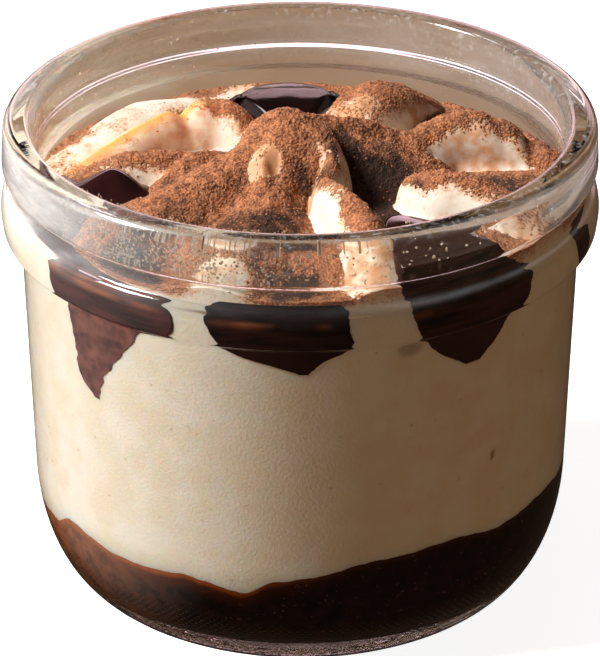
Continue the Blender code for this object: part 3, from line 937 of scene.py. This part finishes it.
@dataclass(frozen=True)
class Swirl:
    """The piped cream: a tall middle with ribs pulled out to the glass, under cocoa."""

    jar: Jar
    bottom: float = 62.2
    reach: float = 0.05
    rings: int = 132
    segments: int = 560
    softness: float = 1.8
    ground_middle: float = 66.0
    # The hollow that the rear sauce lies in: place, half width and depth
    basin: tuple[float, float, float, float] = (-2.5, 24.0, 7.5, 3.2)
    # Angle and height of the cream's edge on the glass
    ground_edge: tuple[tuple[float, float], ...] = (
        (-180.0, 65.6), (-146.0, 66.2), (-128.0, 65.2), (-78.0, 65.2), (-64.0, 66.6),
        (-40.0, 67.0), (5.0, 66.8), (30.0, 64.4), (60.0, 63.2), (100.0, 63.8),
        (135.0, 63.6), (160.0, 64.6),
    )
    ribs: tuple[Rib, ...] = (
        Rib(((-8.1, 10.6, 69.6, 3.0), (-10.5, 12.4, 72.4, 3.6), (-14.0, 13.0, 72.8, 3.7),
             (-19.0, 11.4, 72.0, 3.7), (-24.5, 7.6, 70.7, 3.5), (-29.5, 3.4, 69.1, 3.2),
             (-35.0, -1.5, 66.6, 2.6))),
        Rib(((-18.0, 21.0, 69.0, 4.0), (-25.0, 18.0, 69.6, 4.6), (-30.0, 12.5, 68.6, 4.6),
             (-35.5, 5.0, 66.4, 4.0))),
        Rib(((-13.5, -2.4, 70.0, 2.6), (-19.3, -2.8, 71.3, 3.3), (-25.4, -3.4, 71.3, 3.4),
             (-31.0, -4.4, 69.6, 3.2), (-37.0, -6.6, 66.8, 2.6))),
        Rib(((-12.0, -3.0, 71.0, 3.0), (-16.0, -5.4, 71.9, 3.4), (-20.6, -9.8, 69.4, 2.8))),
        Rib(((-4.0, -4.0, 75.4, 7.0), (-11.0, -9.6, 72.8, 8.4), (-18.0, -16.4, 71.3, 8.6),
             (-26.0, -21.5, 69.6, 7.4), (-32.0, -25.0, 66.8, 6.0)), 1.1),
        Rib(((-2.2, -3.0, 77.9, 8.9), (-0.8, -4.6, 77.3, 9.0)), 0.52),
        Rib(((-3.4, -7.0, 75.8, 4.6), (-5.6, -10.4, 74.2, 3.4), (-5.2, -14.0, 70.4, 2.8)), 0.7),
        Rib(((-3.0, -12.0, 71.6, 7.0), (-6.5, -19.0, 69.9, 8.6), (-9.0, -26.0, 69.2, 8.4),
             (-10.6, -32.0, 68.6, 7.6), (-12.0, -38.0, 66.6, 6.0)), 1.15),
        Rib(((3.6, -6.6, 75.6, 4.2), (4.8, -10.4, 74.0, 3.2), (3.9, -15.0, 72.8, 2.8),
             (6.0, -19.5, 73.3, 3.2), (8.6, -24.2, 72.7, 3.7), (10.6, -29.5, 71.2, 4.2),
             (11.2, -37.0, 66.8, 4.0))),
        Rib(((17.0, -11.4, 71.4, 2.6), (21.0, -13.8, 73.0, 4.2), (25.5, -15.0, 72.7, 4.6),
             (30.5, -17.2, 70.8, 4.4), (35.5, -20.0, 67.6, 3.6))),
        Rib(((2.0, 0.0, 75.8, 5.4), (8.0, 2.0, 74.6, 4.9), (12.8, 2.8, 72.8, 4.2),
             (17.3, 2.8, 71.2, 3.7)), 0.8),
        Rib(((4.0, -3.0, 74.4, 8.6), (11.0, -1.0, 72.0, 9.4), (18.0, -1.5, 69.6, 7.0)), 1.25),
        Rib(((17.3, 3.2, 71.2, 3.7), (20.6, 5.0, 72.8, 4.2), (25.2, 6.0, 73.7, 4.5),
             (30.3, 5.8, 73.0, 4.3), (34.2, 4.8, 70.4, 3.6), (38.0, 3.6, 68.2, 3.2))),
        Rib(((6.4, 9.5, 69.0, 4.8), (9.6, 15.6, 72.4, 6.6), (12.8, 21.5, 71.4, 6.8),
             (17.0, 28.5, 66.2, 6.0))),
    )
    # Creases pressed into the cream: two ends, half width and depth
    folds: tuple[tuple[float, float, float, float, float, float], ...] = (
        (-19.5, 14.0, -16.2, 8.0, 1.5, 1.5), (-13.0, 12.5, -12.4, 8.5, 1.2, 0.7),
        (9.0, 20.0, 6.6, 11.0, 1.6, 0.7), (29.0, 9.5, 31.5, 2.0, 1.4, 0.6),
        (0.4, -10.0, 0.0, -15.0, 2.8, 1.2), (35.0, 7.5, 35.6, 2.0, 1.2, 0.9),
    )
    # Places that the cocoa missed: x, y, half width and how much it missed there
    bare: tuple[tuple[float, float, float, float], ...] = (
        (-20.0, 9.0, 9.0, 0.7), (-29.0, 5.0, 8.0, 0.6), (-28.0, 16.0, 10.0, 0.8),
        (-31.0, -7.0, 6.0, 0.35), (4.5, -20.0, 5.0, 0.45), (7.5, 13.0, 5.5, 0.4),
        (14.0, 14.0, 5.0, 0.2), (-14.0, -15.0, 13.0, -0.6), (-6.0, -20.0, 7.0, -0.4),
        (10.0, -5.0, 11.0, -0.6), (22.5, -18.6, 4.6, 0.5), (28.0, -20.0, 4.6, 0.4),
        (28.0, 1.5, 5.0, 0.2), (0.3, -12.5, 5.0, -0.55), (5.0, -8.8, 4.4, 0.5),
        (-5.7, -11.0, 4.2, 0.55), (-20.0, 26.0, 12.0, 1.0), (-35.0, 5.0, 9.0, 0.6),
        (-8.0, 34.0, 8.0, 0.8), (-37.0, -3.0, 5.0, 0.3), (-11.5, -37.0, 6.5, 1.0),
        (10.5, -35.0, 6.5, 0.9), (35.0, -21.0, 7.0, 0.35),
    )
    # Where juice and cocoa stained the bare cream tan, and where the same tan is painted shade on
    # rib faces in partial shade and painted warm glow on the first rib's face: x, y, half width
    # and share
    tints_and_painted_light: tuple[tuple[float, float, float, float], ...] = (
        (4.5, -8.8, 5.0, 0.6), (-6.0, -11.0, 5.0, 0.8), (0.5, -16.0, 4.0, 0.8),
        (10.5, -35.0, 7.0, 0.6), (-11.5, -37.0, 7.0, 0.4), (-16.0, 11.0, 4.0, 0.4),
        (-21.0, 8.0, 9.0, 0.4), (-30.0, 2.0, 8.0, 0.5), (8.0, 13.0, 8.0, 0.75),
        (19.0, 21.0, 8.0, 0.6), (24.0, -18.0, 8.0, 0.2), (27.0, 1.5, 9.0, 0.55),
        (36.0, 6.0, 5.0, 0.6), (-27.0, -7.0, 6.0, 0.4), (35.0, -22.0, 7.0, 0.6),
    )
    # Painted shade: where the cocoa is painted nearly black to stand in for the shade in valleys
    # and at the feet of ribs: x, y, half width and share
    haze_and_painted_shade: tuple[tuple[float, float, float, float], ...] = (
        (11.0, -9.0, 9.0, 1.0), (15.0, -4.0, 6.0, 0.7), (-10.0, -25.5, 7.0, 0.6),
        (7.0, -4.0, 6.0, 0.6), (-20.5, -12.0, 4.0, 0.5), (-21.0, 3.0, 5.0, 0.3),
        (30.0, -6.0, 8.0, 0.75), (14.0, -15.0, 5.0, 0.9), (-3.5, -23.5, 6.0, 0.75),
        (12.0, 5.0, 9.0, 0.25), (-17.0, -22.0, 6.0, 0.4), (33.0, 11.0, 6.0, 0.3),
        (-1.0, -36.0, 7.0, 1.0), (35.0, -7.0, 7.0, 0.7), (-25.0, -31.0, 8.0, 0.8),
        (1.0, -12.5, 4.5, 0.6), (0.5, -17.5, 4.0, 0.6),
    )

    def ground(self, x: np.ndarray, y: np.ndarray) -> np.ndarray:
        """Return the height of the cream between the ribs."""
        turn = np.degrees(np.arctan2(y, x))
        angles = np.array([a for a, _ in self.ground_edge] + [180.0])
        heights = np.array([z for _, z in self.ground_edge] + [self.ground_edge[0][1]])
        outward = smooth(0.0, 1.0, (np.hypot(x, y) - 27.0) / 13.0)
        edge = np.interp(turn, angles, heights)
        level = self.ground_middle + (edge - self.ground_middle) * outward
        bx, by, half, depth = self.basin
        return level - depth * np.exp(-((x - bx) ** 2 + (y - by) ** 2) / half ** 2)

    def height(self, x: np.ndarray, y: np.ndarray) -> np.ndarray:
        """Return the height of the swirl's top, without its fine grain.

        Args:
            x: places along X.
            y: places along Y.

        Returns:
            The heights.
        """
        ground = self.ground(x, y)
        total = np.zeros(np.shape(x))
        for rib in self.ribs:
            total = self.merge(total, rib.rises(x, y, ground))
        for x0, y0, x1, y1, half, depth in self.folds:
            share = np.clip(((x - x0) * (x1 - x0) + (y - y0) * (y1 - y0))
                            / ((x1 - x0) ** 2 + (y1 - y0) ** 2), 0.0, 1.0)
            away = np.hypot(x - x0 - share * (x1 - x0), y - y0 - share * (y1 - y0)) / half
            total -= depth * np.exp(-away ** 2) * smooth(0.0, 2.0, total)
        return ground + total

    def merge(self, first: np.ndarray, second: np.ndarray) -> np.ndarray:
        """Join two heights as soft cream does, with a small fillet where they meet."""
        fillet = self.softness * np.clip(np.minimum(first, second) / 1.5, 0.0, 1.0) + 1e-6
        near = np.clip(1.0 - np.abs(first - second) / fillet, 0.0, 1.0)
        return np.maximum(first, second) + near * near * fillet * 0.25

    def cocoa(self, x: np.ndarray, y: np.ndarray) -> np.ndarray:
        """Return how thick the cocoa lies, from how level the cream is and where it is.

        Args:
            x: places along X.
            y: places along Y.

        Returns:
            Shares between 0 and 1.
        """
        step = 0.5
        level = self.height(x, y)
        slope = np.hypot(self.height(x + step, y) - level, self.height(x, y + step) - level) / step
        upward = 1.0 / np.sqrt(1.0 + slope ** 2)
        share = smooth(0.26, 0.86, upward)
        for bx, by, half, missed in self.bare:
            share = share - missed * (1.0 - smooth(0.3, 1.0, np.hypot(x - bx, y - by) / half))
        share = share + 0.16 * clumps(x, y, 5.0, 11.3)
        return np.clip(share, 0.0, 1.0)

    def build(self) -> bpy.types.Object:
        """Build the swirl as one closed body with its dust, tint and painted light shares stored
        on it.

        Returns:
            The swirl.
        """
        degrees = np.arange(self.segments) * 360.0 / self.segments
        turn = np.radians(degrees)
        share = np.linspace(1.0, 0.0, self.rings, endpoint=False)[:, None]
        edge = float(self.jar.wall(65.0)) + self.reach
        x, y = edge * share * np.cos(turn), edge * share * np.sin(turn)
        cocoa = self.cocoa(x, y)
        lumps = 0.3 * clumps(x, y, 1.7, 2.1, 3) + 0.13 * clumps(x, y, 0.75, 5.1, 2)
        z = self.height(x, y) + 0.16 * clumps(x, y, 4.0, 7.9, 2) + lumps * cocoa
        top = np.stack([x, y, z], -1) * MM
        low = np.full(self.segments, self.bottom)
        below = [polar(edge * 0.5, degrees, low), polar(edge, degrees, low),
                 polar(edge, degrees, low + 0.05), polar(edge, degrees, z[0] - 0.06)]
        rings = np.concatenate([np.array(below), top])
        peak = float(self.height(np.array([0.0]), np.array([0.0]))[0])
        item = loft("piped_swirl", rings, (0.0, 0.0, self.bottom * MM), (0.0, 0.0, peak * MM))
        # Painted shade darkens the cocoa in the valleys, and the tan patches are partly real stain
        # and partly painted shade and glow
        painted_shade, tint_and_painted_light = self.patches(self.haze_and_painted_shade, x, y), self.patches(self.tints_and_painted_light, x, y)
        # The first rib's crest gets a painted amber glow that stands in for light shining through
        # the thin cream
        painted_glow_rib = self.ribs[0]
        under = np.zeros(4 * self.segments)
        sides = np.concatenate([under[:3 * self.segments], 0.8 * cocoa[0]])
        # Each share's values below the top, on it and at the peak
        for name, below_top, on_top, at_peak in (
                ("cocoa", sides, cocoa, 0.9),
                ("painted_glow", under, painted_glow_rib.nearness(x, y, 2.2) * smooth(-8.0, -14.0, x), 0.0),
                ("thin", under, painted_glow_rib.nearness(x, y, 7.0) ** 0.5, 0.0),
                ("haze_and_painted_shade", under, painted_shade, 0.0), ("tint_and_painted_light", under, tint_and_painted_light, 0.0),
                ("loose", under, cocoa ** 2 * (1.0 - painted_shade) * (1.0 - 0.7 * tint_and_painted_light), 0.5)):
            give_values(item, name, np.concatenate([below_top, on_top.ravel(), (0.0, at_peak)]))
        return item

    def patches(self, spots: tuple[tuple[float, float, float, float], ...], x: np.ndarray,
                y: np.ndarray) -> np.ndarray:
        """Return the strongest of some soft round patches at each place.

        Args:
            spots: each patch's x, y, half width and share.
            x: places along X.
            y: places along Y.

        Returns:
            Shares between 0 and 1.
        """
        x = x + 3.2 * clumps(x, y, 6.0, 21.0, 3)
        y = y + 3.2 * clumps(x, y, 6.0, 33.0, 3)
        return np.max([share * (1.0 - smooth(0.3, 1.0, np.hypot(x - px, y - py) / half))
                       for px, py, half, share in spots], axis=0)

    def dress(self, item: bpy.types.Object) -> None:
        """Give the swirl its finish."""
        finish_piece(item, DustedCream().material(), "piped_cream", "cream_swirl")


@dataclass(frozen=True)
class SauceRun:
    """One run of sauce: where it lies on the glass at each height, and its open top.

    Each level is a height, the two angles of its ends and the radius it reaches inwards.
    """

    name: str
    levels: tuple[tuple[float, float, float, float], ...]
    look: SauceLook = SauceLook.ON_GLASS
    outer: float = 0.0
    ragged: float = 0.8
    dome: float = 0.8
    ripple: float = 0.25
    # Rises of the open top: x, y, half width and height
    hills: tuple[tuple[float, float, float, float], ...] = ()
    # A wave along the wall: radius, half width, middle angle, half span and height
    crest: tuple[float, float, float, float, float] = (36.0, 1.0, 0.0, 1.0, 0.0)
    # Its colour where it is deep, where it is thin, and in the drip below the flange
    deep: str = "#180A08"
    thin: str = "#43221C"
    drip: str = "#3A1D17"

    def outline(self, jar: Jar, z: float, reach: float) -> np.ndarray:
        """Return one level's outline as radii and angles.

        Args:
            jar: the glass that it lies on.
            z: the height.
            reach: how far it goes into the wall.

        Returns:
            Rows of radius and angle, counterclockwise.
        """
        table = np.array(self.levels)
        near = z + np.linspace(-0.5, 0.5, 5)
        first, last, inner = (np.interp(near, table[:, 0], table[:, at]).mean()
                              for at in (1, 2, 3))
        rough = [noise.fractal(Vector((z / 1.4, side, 3.0)), 1.0, 2.0, 4) for side in (0.0, 9.0)]
        first, last = first + self.ragged * rough[0], last + self.ragged * rough[1]
        outer = self.outer or float(jar.wall(z)) + reach
        front = np.linspace(first, last, 44)
        back = np.linspace(last, first, 42)[1:-1]
        share = (back - first) / (last - first)
        bulge = np.sin(math.pi * share) ** 0.55
        inside = outer - (outer - inner) * bulge
        if self.outer:
            middle, half = (first + last) / 2, (last - first) / 2
            front_r = inner + (outer - inner) * (1 - ((front - middle) / half) ** 2 * 0.36)
            return np.concatenate([np.stack([front_r, front], -1), np.stack([inside, back], -1)])
        return np.concatenate([np.stack([np.full(44, outer), front], -1),
                               np.stack([inside, back], -1)])

    def build(self, jar: Jar, reach: float = 0.14) -> bpy.types.Object:
        """Build the run as one closed body.

        Args:
            jar: the glass that it lies on.
            reach: how far it goes into the wall.

        Returns:
            The sauce, with its share of amber stored on it.
        """
        heights = np.linspace(self.levels[0][0], self.levels[-1][0], 90)
        rings, painted_glow = [], []
        for z in heights:
            outline = self.outline(jar, float(z), reach)
            rings.append(polar(outline[:, 0], outline[:, 1], np.full(len(outline), z)))
            # A thin band of painted amber glow near 61.3 mm, standing in for light through the
            # sauce's top edge
            painted_glow.append(np.full(len(outline), math.exp(-((z - 61.3) / 0.35) ** 2)))
        top = rings[-1]
        centre = top.mean(0)
        for share in np.linspace(0.94, 0.06, 16):
            ring = centre + (top - centre) * share
            ring[:, 2] = top[:, 2] + self.lift(ring / MM, share) * MM
            rings.append(ring)
            painted_glow.append(np.zeros(len(ring)))
        low = rings[0].mean(0)
        high = rings[-1].mean(0)
        item = loft(self.name, np.array(rings), tuple(low), tuple(high))
        give_values(item, "painted_glow", np.append(np.array(painted_glow).ravel(), (0.0, 0.0)))
        free = np.zeros((len(rings), len(top)))
        free[len(heights):] = 1.0
        give_values(item, "open", np.append(free.ravel(), (0.0, 1.0)))
        return item

    def lift(self, points: np.ndarray, share: float) -> np.ndarray:
        """Return how far the open top stands over the last level, in millimetres."""
        wave = np.array([noise.fractal(Vector((p[0] / 6.0, p[1] / 6.0, 5.0)), 1.0, 2.0, 2)
                         for p in points])
        rise = (self.dome + self.ripple * wave * 2.0) * (1.0 - share * share)
        for x, y, half, high in self.hills:
            away = np.hypot(points[:, 0] - x, points[:, 1] - y) / half
            rise += high * (1.0 - smooth(0.0, 1.0, away)) * min(1.0, 6.0 * (1.0 - share))
        radius, half, middle, span, high = self.crest
        across = (np.hypot(points[:, 0], points[:, 1]) - radius) / half
        along = (np.degrees(np.arctan2(points[:, 1], points[:, 0])) - middle) / span
        return rise + high * np.exp(-across ** 2 - along ** 4) * min(1.0, 5.0 * (1.0 - share))

    def dress(self, item: bpy.types.Object, node: str) -> None:
        """Give the sauce its finish and name the solid that it stands for."""
        finish = ChocolateSauce(look=self.look, deep=self.deep, thin=self.thin, drip=self.drip)
        finish_piece(item, finish.material(), "sauce", node)


@dataclass(frozen=True)
class Sauces:
    """All five runs of chocolate sauce, keyed by the solids that they stand for."""

    runs: dict[str, SauceRun] = field(default_factory=lambda: {
        # The left run's colours are lighter and redder than the other runs' as painted light from
        # the lamp's side
        "sauce_left": SauceRun("left_sauce", (
            (42.4, -137.7, -136.7, 38.9), (44.4, -141.9, -135.9, 38.2),
            (46.5, -143.4, -135.0, 38.0), (49.9, -143.7, -131.5, 37.5),
            (52.5, -144.6, -128.6, 37.2), (54.5, -145.2, -126.2, 36.9),
            (57.5, -146.0, -124.4, 36.5), (57.9, -146.6, -117.0, 36.3),
            (60.3, -148.7, -115.3, 35.8), (61.7, -150.0, -116.4, 35.2),
            (64.6, -163.0, -135.0, 30.5), (68.0, -174.0, -144.0, 24.0)), dome=0.5,
            hills=((-28.4, -8.6, 6.4, 2.6), (-33.0, -12.0, 5.0, 0.8)),
            deep="#210D0B", thin="#4A241E", drip="#855042"),
        # The front run's colours are darker than the other runs' as painted shade
        "sauce_front": SauceRun("front_sauce", (
            (53.3, -89.4, -88.4, 38.8), (54.0, -92.6, -87.3, 38.6), (55.2, -98.3, -85.9, 38.2),
            (56.4, -104.7, -82.0, 37.6), (58.5, -106.4, -79.4, 37.2), (61.6, -109.7, -80.2, 36.4),
            (64.4, -106.0, -82.0, 35.4)), deep="#100706", thin="#2C1512", drip="#2A1310"),
        "sauce_right": SauceRun("right_sauce", (
            (51.0, -53.4, -50.6, 38.6), (52.8, -57.8, -46.6, 38.2), (54.3, -60.7, -44.6, 38.0),
            (57.7, -64.7, -40.9, 37.4), (61.5, -67.2, -36.4, 35.6), (65.4, -69.4, -42.0, 31.0),
            (69.9, -70.0, -48.0, 26.0)), dome=0.5),
        "sauce_far_right": SauceRun("far_right_sauce", (
            (56.9, -16.6, -13.6, 38.8), (60.4, -19.6, -11.6, 38.0), (64.4, -19.0, -10.0, 36.8))),
        "sauce_rear": SauceRun("rear_sauce", (
            (61.0, 90.0, 104.0, 24.0), (64.0, 82.0, 110.0, 19.0), (65.9, 74.5, 115.0, 14.0)),
            SauceLook.OPEN, outer=35.2, dome=-0.3, ripple=0.05,
            crest=(26.0, 8.5, 95.0, 24.0, 2.1)),
    })

    def build(self, jar: Jar) -> None:
        """Build and dress every run on the glass."""
        for node, run in self.runs.items():
            run.dress(run.build(jar), node)


# What is scattered by Geometry Nodes

@dataclass(frozen=True)
class Scatter:
    """A Geometry Nodes tree that strews one small clot shape over a surface.

    The clots lie thicker where the surface's named share is high.
    """

    name: str
    share_name: str
    per_square_mm: float
    clot_mm: float
    flatness: float = 0.7
    seed: int = 3

    def tree(self, material: bpy.types.Material) -> bpy.types.NodeTree:
        """Build the tree with its named inputs.

        Args:
            material: what the clots are made of.

        Returns:
            The tree.
        """
        tree = bpy.data.node_groups.new(self.name, "GeometryNodeTree")
        tree.interface.new_socket("Geometry", in_out="INPUT", socket_type="NodeSocketGeometry")
        for title in ("Clots per square metre", "Clot size", "Flatness"):
            tree.interface.new_socket(title, in_out="INPUT", socket_type="NodeSocketFloat")
        tree.interface.new_socket("Seed", in_out="INPUT", socket_type="NodeSocketInt")
        tree.interface.new_socket("Geometry", in_out="OUTPUT", socket_type="NodeSocketGeometry")
        given = add_node(tree, "NodeGroupInput").outputs
        share = add_node(tree, "GeometryNodeInputNamedAttribute", {"Name": self.share_name})
        density = add_node(tree, "ShaderNodeMath", {0: share.outputs["Attribute"], 1: given[1]},
                           operation="MULTIPLY")
        spots = add_node(tree, "GeometryNodeDistributePointsOnFaces",
                         {"Mesh": given[0], "Density": density.outputs[0], "Seed": given[4]})
        clot = add_node(tree, "GeometryNodeMeshIcoSphere", {"Radius": given[2], "Subdivisions": 1})
        flat = add_node(tree, "ShaderNodeCombineXYZ", {"X": 1.0, "Y": 1.0, "Z": given[3]})
        squashed = add_node(tree, "GeometryNodeTransform", {"Geometry": clot.outputs["Mesh"],
                                                           "Scale": flat.outputs[0]})
        sizes = add_node(tree, "FunctionNodeRandomValue",
                         {0: (0.55, 0.45, 0.7), 1: (1.5, 1.2, 1.3), "Seed": given[4]},
                         data_type="FLOAT_VECTOR")
        spin = add_node(tree, "FunctionNodeRandomValue", {3: 6.28}, data_type="FLOAT")
        turn = add_node(tree, "ShaderNodeCombineXYZ", {"Z": spin.outputs[1]})
        lie = add_node(tree, "FunctionNodeRotateRotation",
                       {0: spots.outputs["Rotation"], 1: turn.outputs[0]}, rotation_space="LOCAL")
        strewn = add_node(tree, "GeometryNodeInstanceOnPoints",
                          {"Points": spots.outputs["Points"],
                           "Instance": squashed.outputs["Geometry"],
                           "Rotation": lie.outputs[0], "Scale": sizes.outputs[0]})
        real = add_node(tree, "GeometryNodeRealizeInstances", {0: strewn.outputs["Instances"]})
        dressed = add_node(tree, "GeometryNodeSetMaterial",
                           {"Geometry": real.outputs[0], "Material": material})
        add_node(tree, "NodeGroupOutput", {0: dressed.outputs[0]})
        return tree

    def build(self, surface: bpy.types.Mesh, material: bpy.types.Material) -> bpy.types.Object:
        """Strew the clots and turn them into a plain mesh.

        Args:
            surface: the mesh to strew them over, which is used up.
            material: what they are made of.

        Returns:
            The clots as one piece.
        """
        carrier = put_in_scene(self.name + "_carrier", surface)
        strew = carrier.modifiers.new("strew", "NODES")
        strew.node_group = self.tree(material)
        values = {"Clots per square metre": self.per_square_mm / MM ** 2,
                  "Clot size": self.clot_mm / 2 * MM, "Flatness": self.flatness,
                  "Seed": self.seed}
        for socket in strew.node_group.interface.items_tree:
            if socket.in_out == "INPUT" and socket.name in values:
                strew[socket.identifier] = values[socket.name]
        evaluated = carrier.evaluated_get(bpy.context.evaluated_depsgraph_get())
        mesh = bpy.data.meshes.new_from_object(evaluated)
        mesh.name = self.name
        carrier.modifiers.remove(strew)
        bpy.data.objects.remove(carrier)
        return put_in_scene(self.name, mesh)


@dataclass(frozen=True)
class CocoaDust:
    """The loose cocoa: clots over the swirl, and flakes stuck inside the glass lip."""

    clots: Scatter = Scatter("cocoa_clots", "loose", 2.8, 0.34)
    flakes: Scatter = Scatter("glass_flakes", "dust", 8.0, 0.42, flatness=0.12, seed=8)

    def lip_surface(self, jar: Jar) -> bpy.types.Mesh:
        """Return the inner wall over the food, with how dusty it is.

        Args:
            jar: the glass.

        Returns:
            An open band that faces the axis.
        """
        degrees = np.linspace(-180.0, 180.0, 361)
        heights = np.linspace(67.5, 76.2, 24)
        angle, z = np.meshgrid(degrees, heights)
        points = polar(jar.wall(z) - 0.02, angle, z)
        count = len(degrees)
        at = np.arange(len(heights) - 1)[:, None] * count + np.arange(count - 1)
        faces = np.stack([at, at + count, at + count + 1, at + 1], -1).reshape(-1, 4)
        mesh = bpy.data.meshes.new("lip_surface")
        mesh.from_pydata(points.reshape(-1, 3).tolist(), [], faces.tolist())
        left = np.exp(-((angle + 120.0) / 17.0) ** 2)
        front = 0.2 * np.exp(-((angle + 85.0) / 22.0) ** 2)
        clumped = 0.5 + 0.9 * clumps(angle * 0.7, z, 3.0, 6.2)
        share = np.clip(0.008 + (left + front) * clumped, 0.0, 1.0)
        layer = mesh.attributes.new("dust", "FLOAT", "POINT")
        layer.data.foreach_set("value", share.ravel().astype(np.float32))
        return mesh

    def build(self, jar: Jar, swirl: bpy.types.Object) -> None:
        """Strew and dress both kinds of dust.

        Args:
            jar: the glass.
            swirl: the piece that the clots lie on.
        """
        powder, flake = CocoaGrain().material(), GlassDust().material()
        clots = self.clots.build(swirl.data.copy(), powder)
        finish_piece(clots, powder, "piped_cream")
        flakes = self.flakes.build(self.lip_surface(jar), flake)
        finish_piece(flakes, flake, "piped_cream")


# The studio

@dataclass(frozen=True)
class Studio:
    """Floor, light and camera: a soft window from the left and a dim warm room."""

    distance: float = 600.0
    elevation: float = 27.51
    focal_px: float = 3832.2
    target_z: float = 39.5
    key_watts: float = 14.8
    key_distance: float = 0.9
    key_size: float = 0.24
    key_azimuth: float = 188.0
    key_elevation: float = 45.0
    floor_colour: str = "#E9E6E2"
    # Linear colours of the room: the table's glow, what gloss sees of it, the dark above,
    # the window's wall at the left and the bright pane at the back
    table_glow: Colour = (0.36, 0.225, 0.138, 1.0)
    table_mirrored: Colour = (0.03, 0.02, 0.014, 1.0)
    room_above: Colour = (0.03, 0.022, 0.016, 1.0)
    window_wall: Colour = (1.0, 0.98, 0.96, 1.0)
    back_pane: Colour = (2.5, 1.6, 1.75, 1.0)
    white: Colour = (1.0, 1.0, 1.0, 1.0)

    def place_camera(self) -> None:
        """Set the camera at the photograph's viewing angle."""
        data = bpy.data.cameras.new("camera")
        data.sensor_fit = "VERTICAL"
        data.sensor_height = data.sensor_width = 36.0
        data.lens = self.focal_px * 36.0 / IMAGE_HEIGHT
        data.clip_end = 20.0
        camera = bpy.data.objects.new("camera", data)
        rise = math.radians(self.elevation)
        camera.location = Vector((0.0, -self.distance * math.cos(rise),
                                  self.target_z + self.distance * math.sin(rise))) * MM
        camera.rotation_euler = (math.pi / 2 - rise, 0.0, 0.0)
        bpy.context.scene.collection.objects.link(camera)
        bpy.context.scene.camera = camera

    def hang_lamp(self, name: str, watts: float, size: float, azimuth: float, rise: float,
                  distance: float, colour: str, sheen_only: bool = False) -> None:
        """Add one square lamp that points at the cup.

        Args:
            name: the lamp's name.
            watts: its power.
            size: its width in metres.
            azimuth: the angle it stands at.
            rise: its height as an angle.
            distance: how far it is, in metres.
            colour: its colour.
            sheen_only: whether it shows only in gloss.
        """
        data = bpy.data.lights.new(name, "AREA")
        data.energy, data.size, data.color = watts, size, linear(colour)[:3]
        lamp = bpy.data.objects.new(name, data)
        a, e = math.radians(azimuth), math.radians(rise)
        away = Vector((math.cos(e) * math.cos(a), math.cos(e) * math.sin(a), math.sin(e)))
        lamp.location = Vector((0.0, 0.0, 0.05)) + away * distance
        lamp.rotation_euler = away.to_track_quat("Z", "Y").to_euler()
        lamp.visible_diffuse = not sheen_only
        lamp.visible_transmission = not sheen_only
        bpy.context.scene.collection.objects.link(lamp)

    def paint_world(self) -> None:
        """Make the room: white behind for the camera, dim and warm for what bounces."""
        world = bpy.data.worlds.new("room")
        world.use_nodes = True
        tree = world.node_tree
        way = add_node(tree, "ShaderNodeTexCoord").outputs["Generated"]
        parts = add_node(tree, SPLIT, (way,)).outputs
        rays = add_node(tree, "ShaderNodeLightPath").outputs
        up = add_node(tree, RANGE, (parts["Z"], -0.12, 0.04), **EASED)
        mirrored = add_node(tree, MATH, (rays["Is Glossy Ray"], rays["Is Reflection Ray"]),
                            operation="MULTIPLY")
        low = add_node(tree, MIX, (mirrored, self.table_glow, self.table_mirrored), **COLOURS)
        room = add_node(tree, MIX, (up, low, self.room_above), **COLOURS)
        left = add_node(tree, RANGE, (parts["X"], -0.45, -0.95, 0.0, 0.7), **EASED)
        weak = add_node(tree, RANGE, (rays["Is Diffuse Ray"], 0.0, 1.0, 1.0, 0.35))
        left = add_node(tree, MATH, (left, weak), operation="MULTIPLY")
        glow = add_node(tree, MIX, (left, room, self.window_wall), **COLOURS)
        # The pane at the back, which only gloss shows, is bounded below and above
        unlit = add_node(tree, MATH, (1.0, rays["Is Diffuse Ray"]), operation="SUBTRACT")
        pane = add_node(tree, RANGE, (parts["Y"], 0.8, 0.93), **EASED)
        for factor in (add_node(tree, RANGE, (parts["Z"], 0.02, 0.06)),
                       add_node(tree, RANGE, (parts["Z"], 0.4, 0.34)), unlit):
            pane = add_node(tree, MATH, (pane, factor), operation="MULTIPLY")
        glow = add_node(tree, MIX, (pane, glow, self.back_pane), **COLOURS)
        colour = add_node(tree, MIX, (rays["Is Camera Ray"], glow, self.white), **COLOURS)
        feed(tree.nodes["Background"], {"Color": colour})
        bpy.context.scene.world = world

    def lay_floor(self) -> None:
        """Lay a plain pale floor that only the camera sees."""
        mesh = bpy.data.meshes.new("floor")
        mesh.from_pydata([(x, y, -0.0002) for x, y in ((-3, -3), (3, -3), (3, 3), (-3, 3))], [],
                         [(0, 1, 2, 3)])
        floor = put_in_scene("floor", mesh)
        material = bpy.data.materials.new("pale_floor")
        material.use_nodes = True
        feed(material.node_tree.nodes["Principled BSDF"],
             {"Base Color": linear(self.floor_colour), "Roughness": 1.0,
              "Specular IOR Level": 0.0, "Emission Color": self.white,
              "Emission Strength": 0.9})
        mesh.materials.append(material)
        floor.visible_diffuse = floor.visible_glossy = floor.visible_transmission = False

    def build(self) -> None:
        """Set up everything round the cup."""
        self.place_camera()
        self.hang_lamp("window", self.key_watts, self.key_size, self.key_azimuth,
                       self.key_elevation, self.key_distance, "#FBFBFF")
        self.hang_lamp("side_softbox", 1.2, 0.16, 150.0, 50.0, 0.8, "#F4E6EE", sheen_only=True)
        self.paint_world()
        self.lay_floor()
        bpy.context.scene.view_settings.view_transform = "Standard"


def main() -> None:
    """Build the cup from the glass inwards, then the studio, and log each piece's face count."""
    logging.basicConfig(level=logging.INFO, format="%(message)s")
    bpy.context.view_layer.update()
    jar = Jar()
    jar.dress(jar.build())
    layers = Layers(jar)
    layers.dress(layers.build_base(), layers.build_cream())
    swirl = Swirl(jar)
    piped = swirl.build()
    swirl.dress(piped)
    Sauces().build(jar)
    CocoaDust().build(jar, piped)
    Studio().build()


if __name__ == "__main__":
    main()
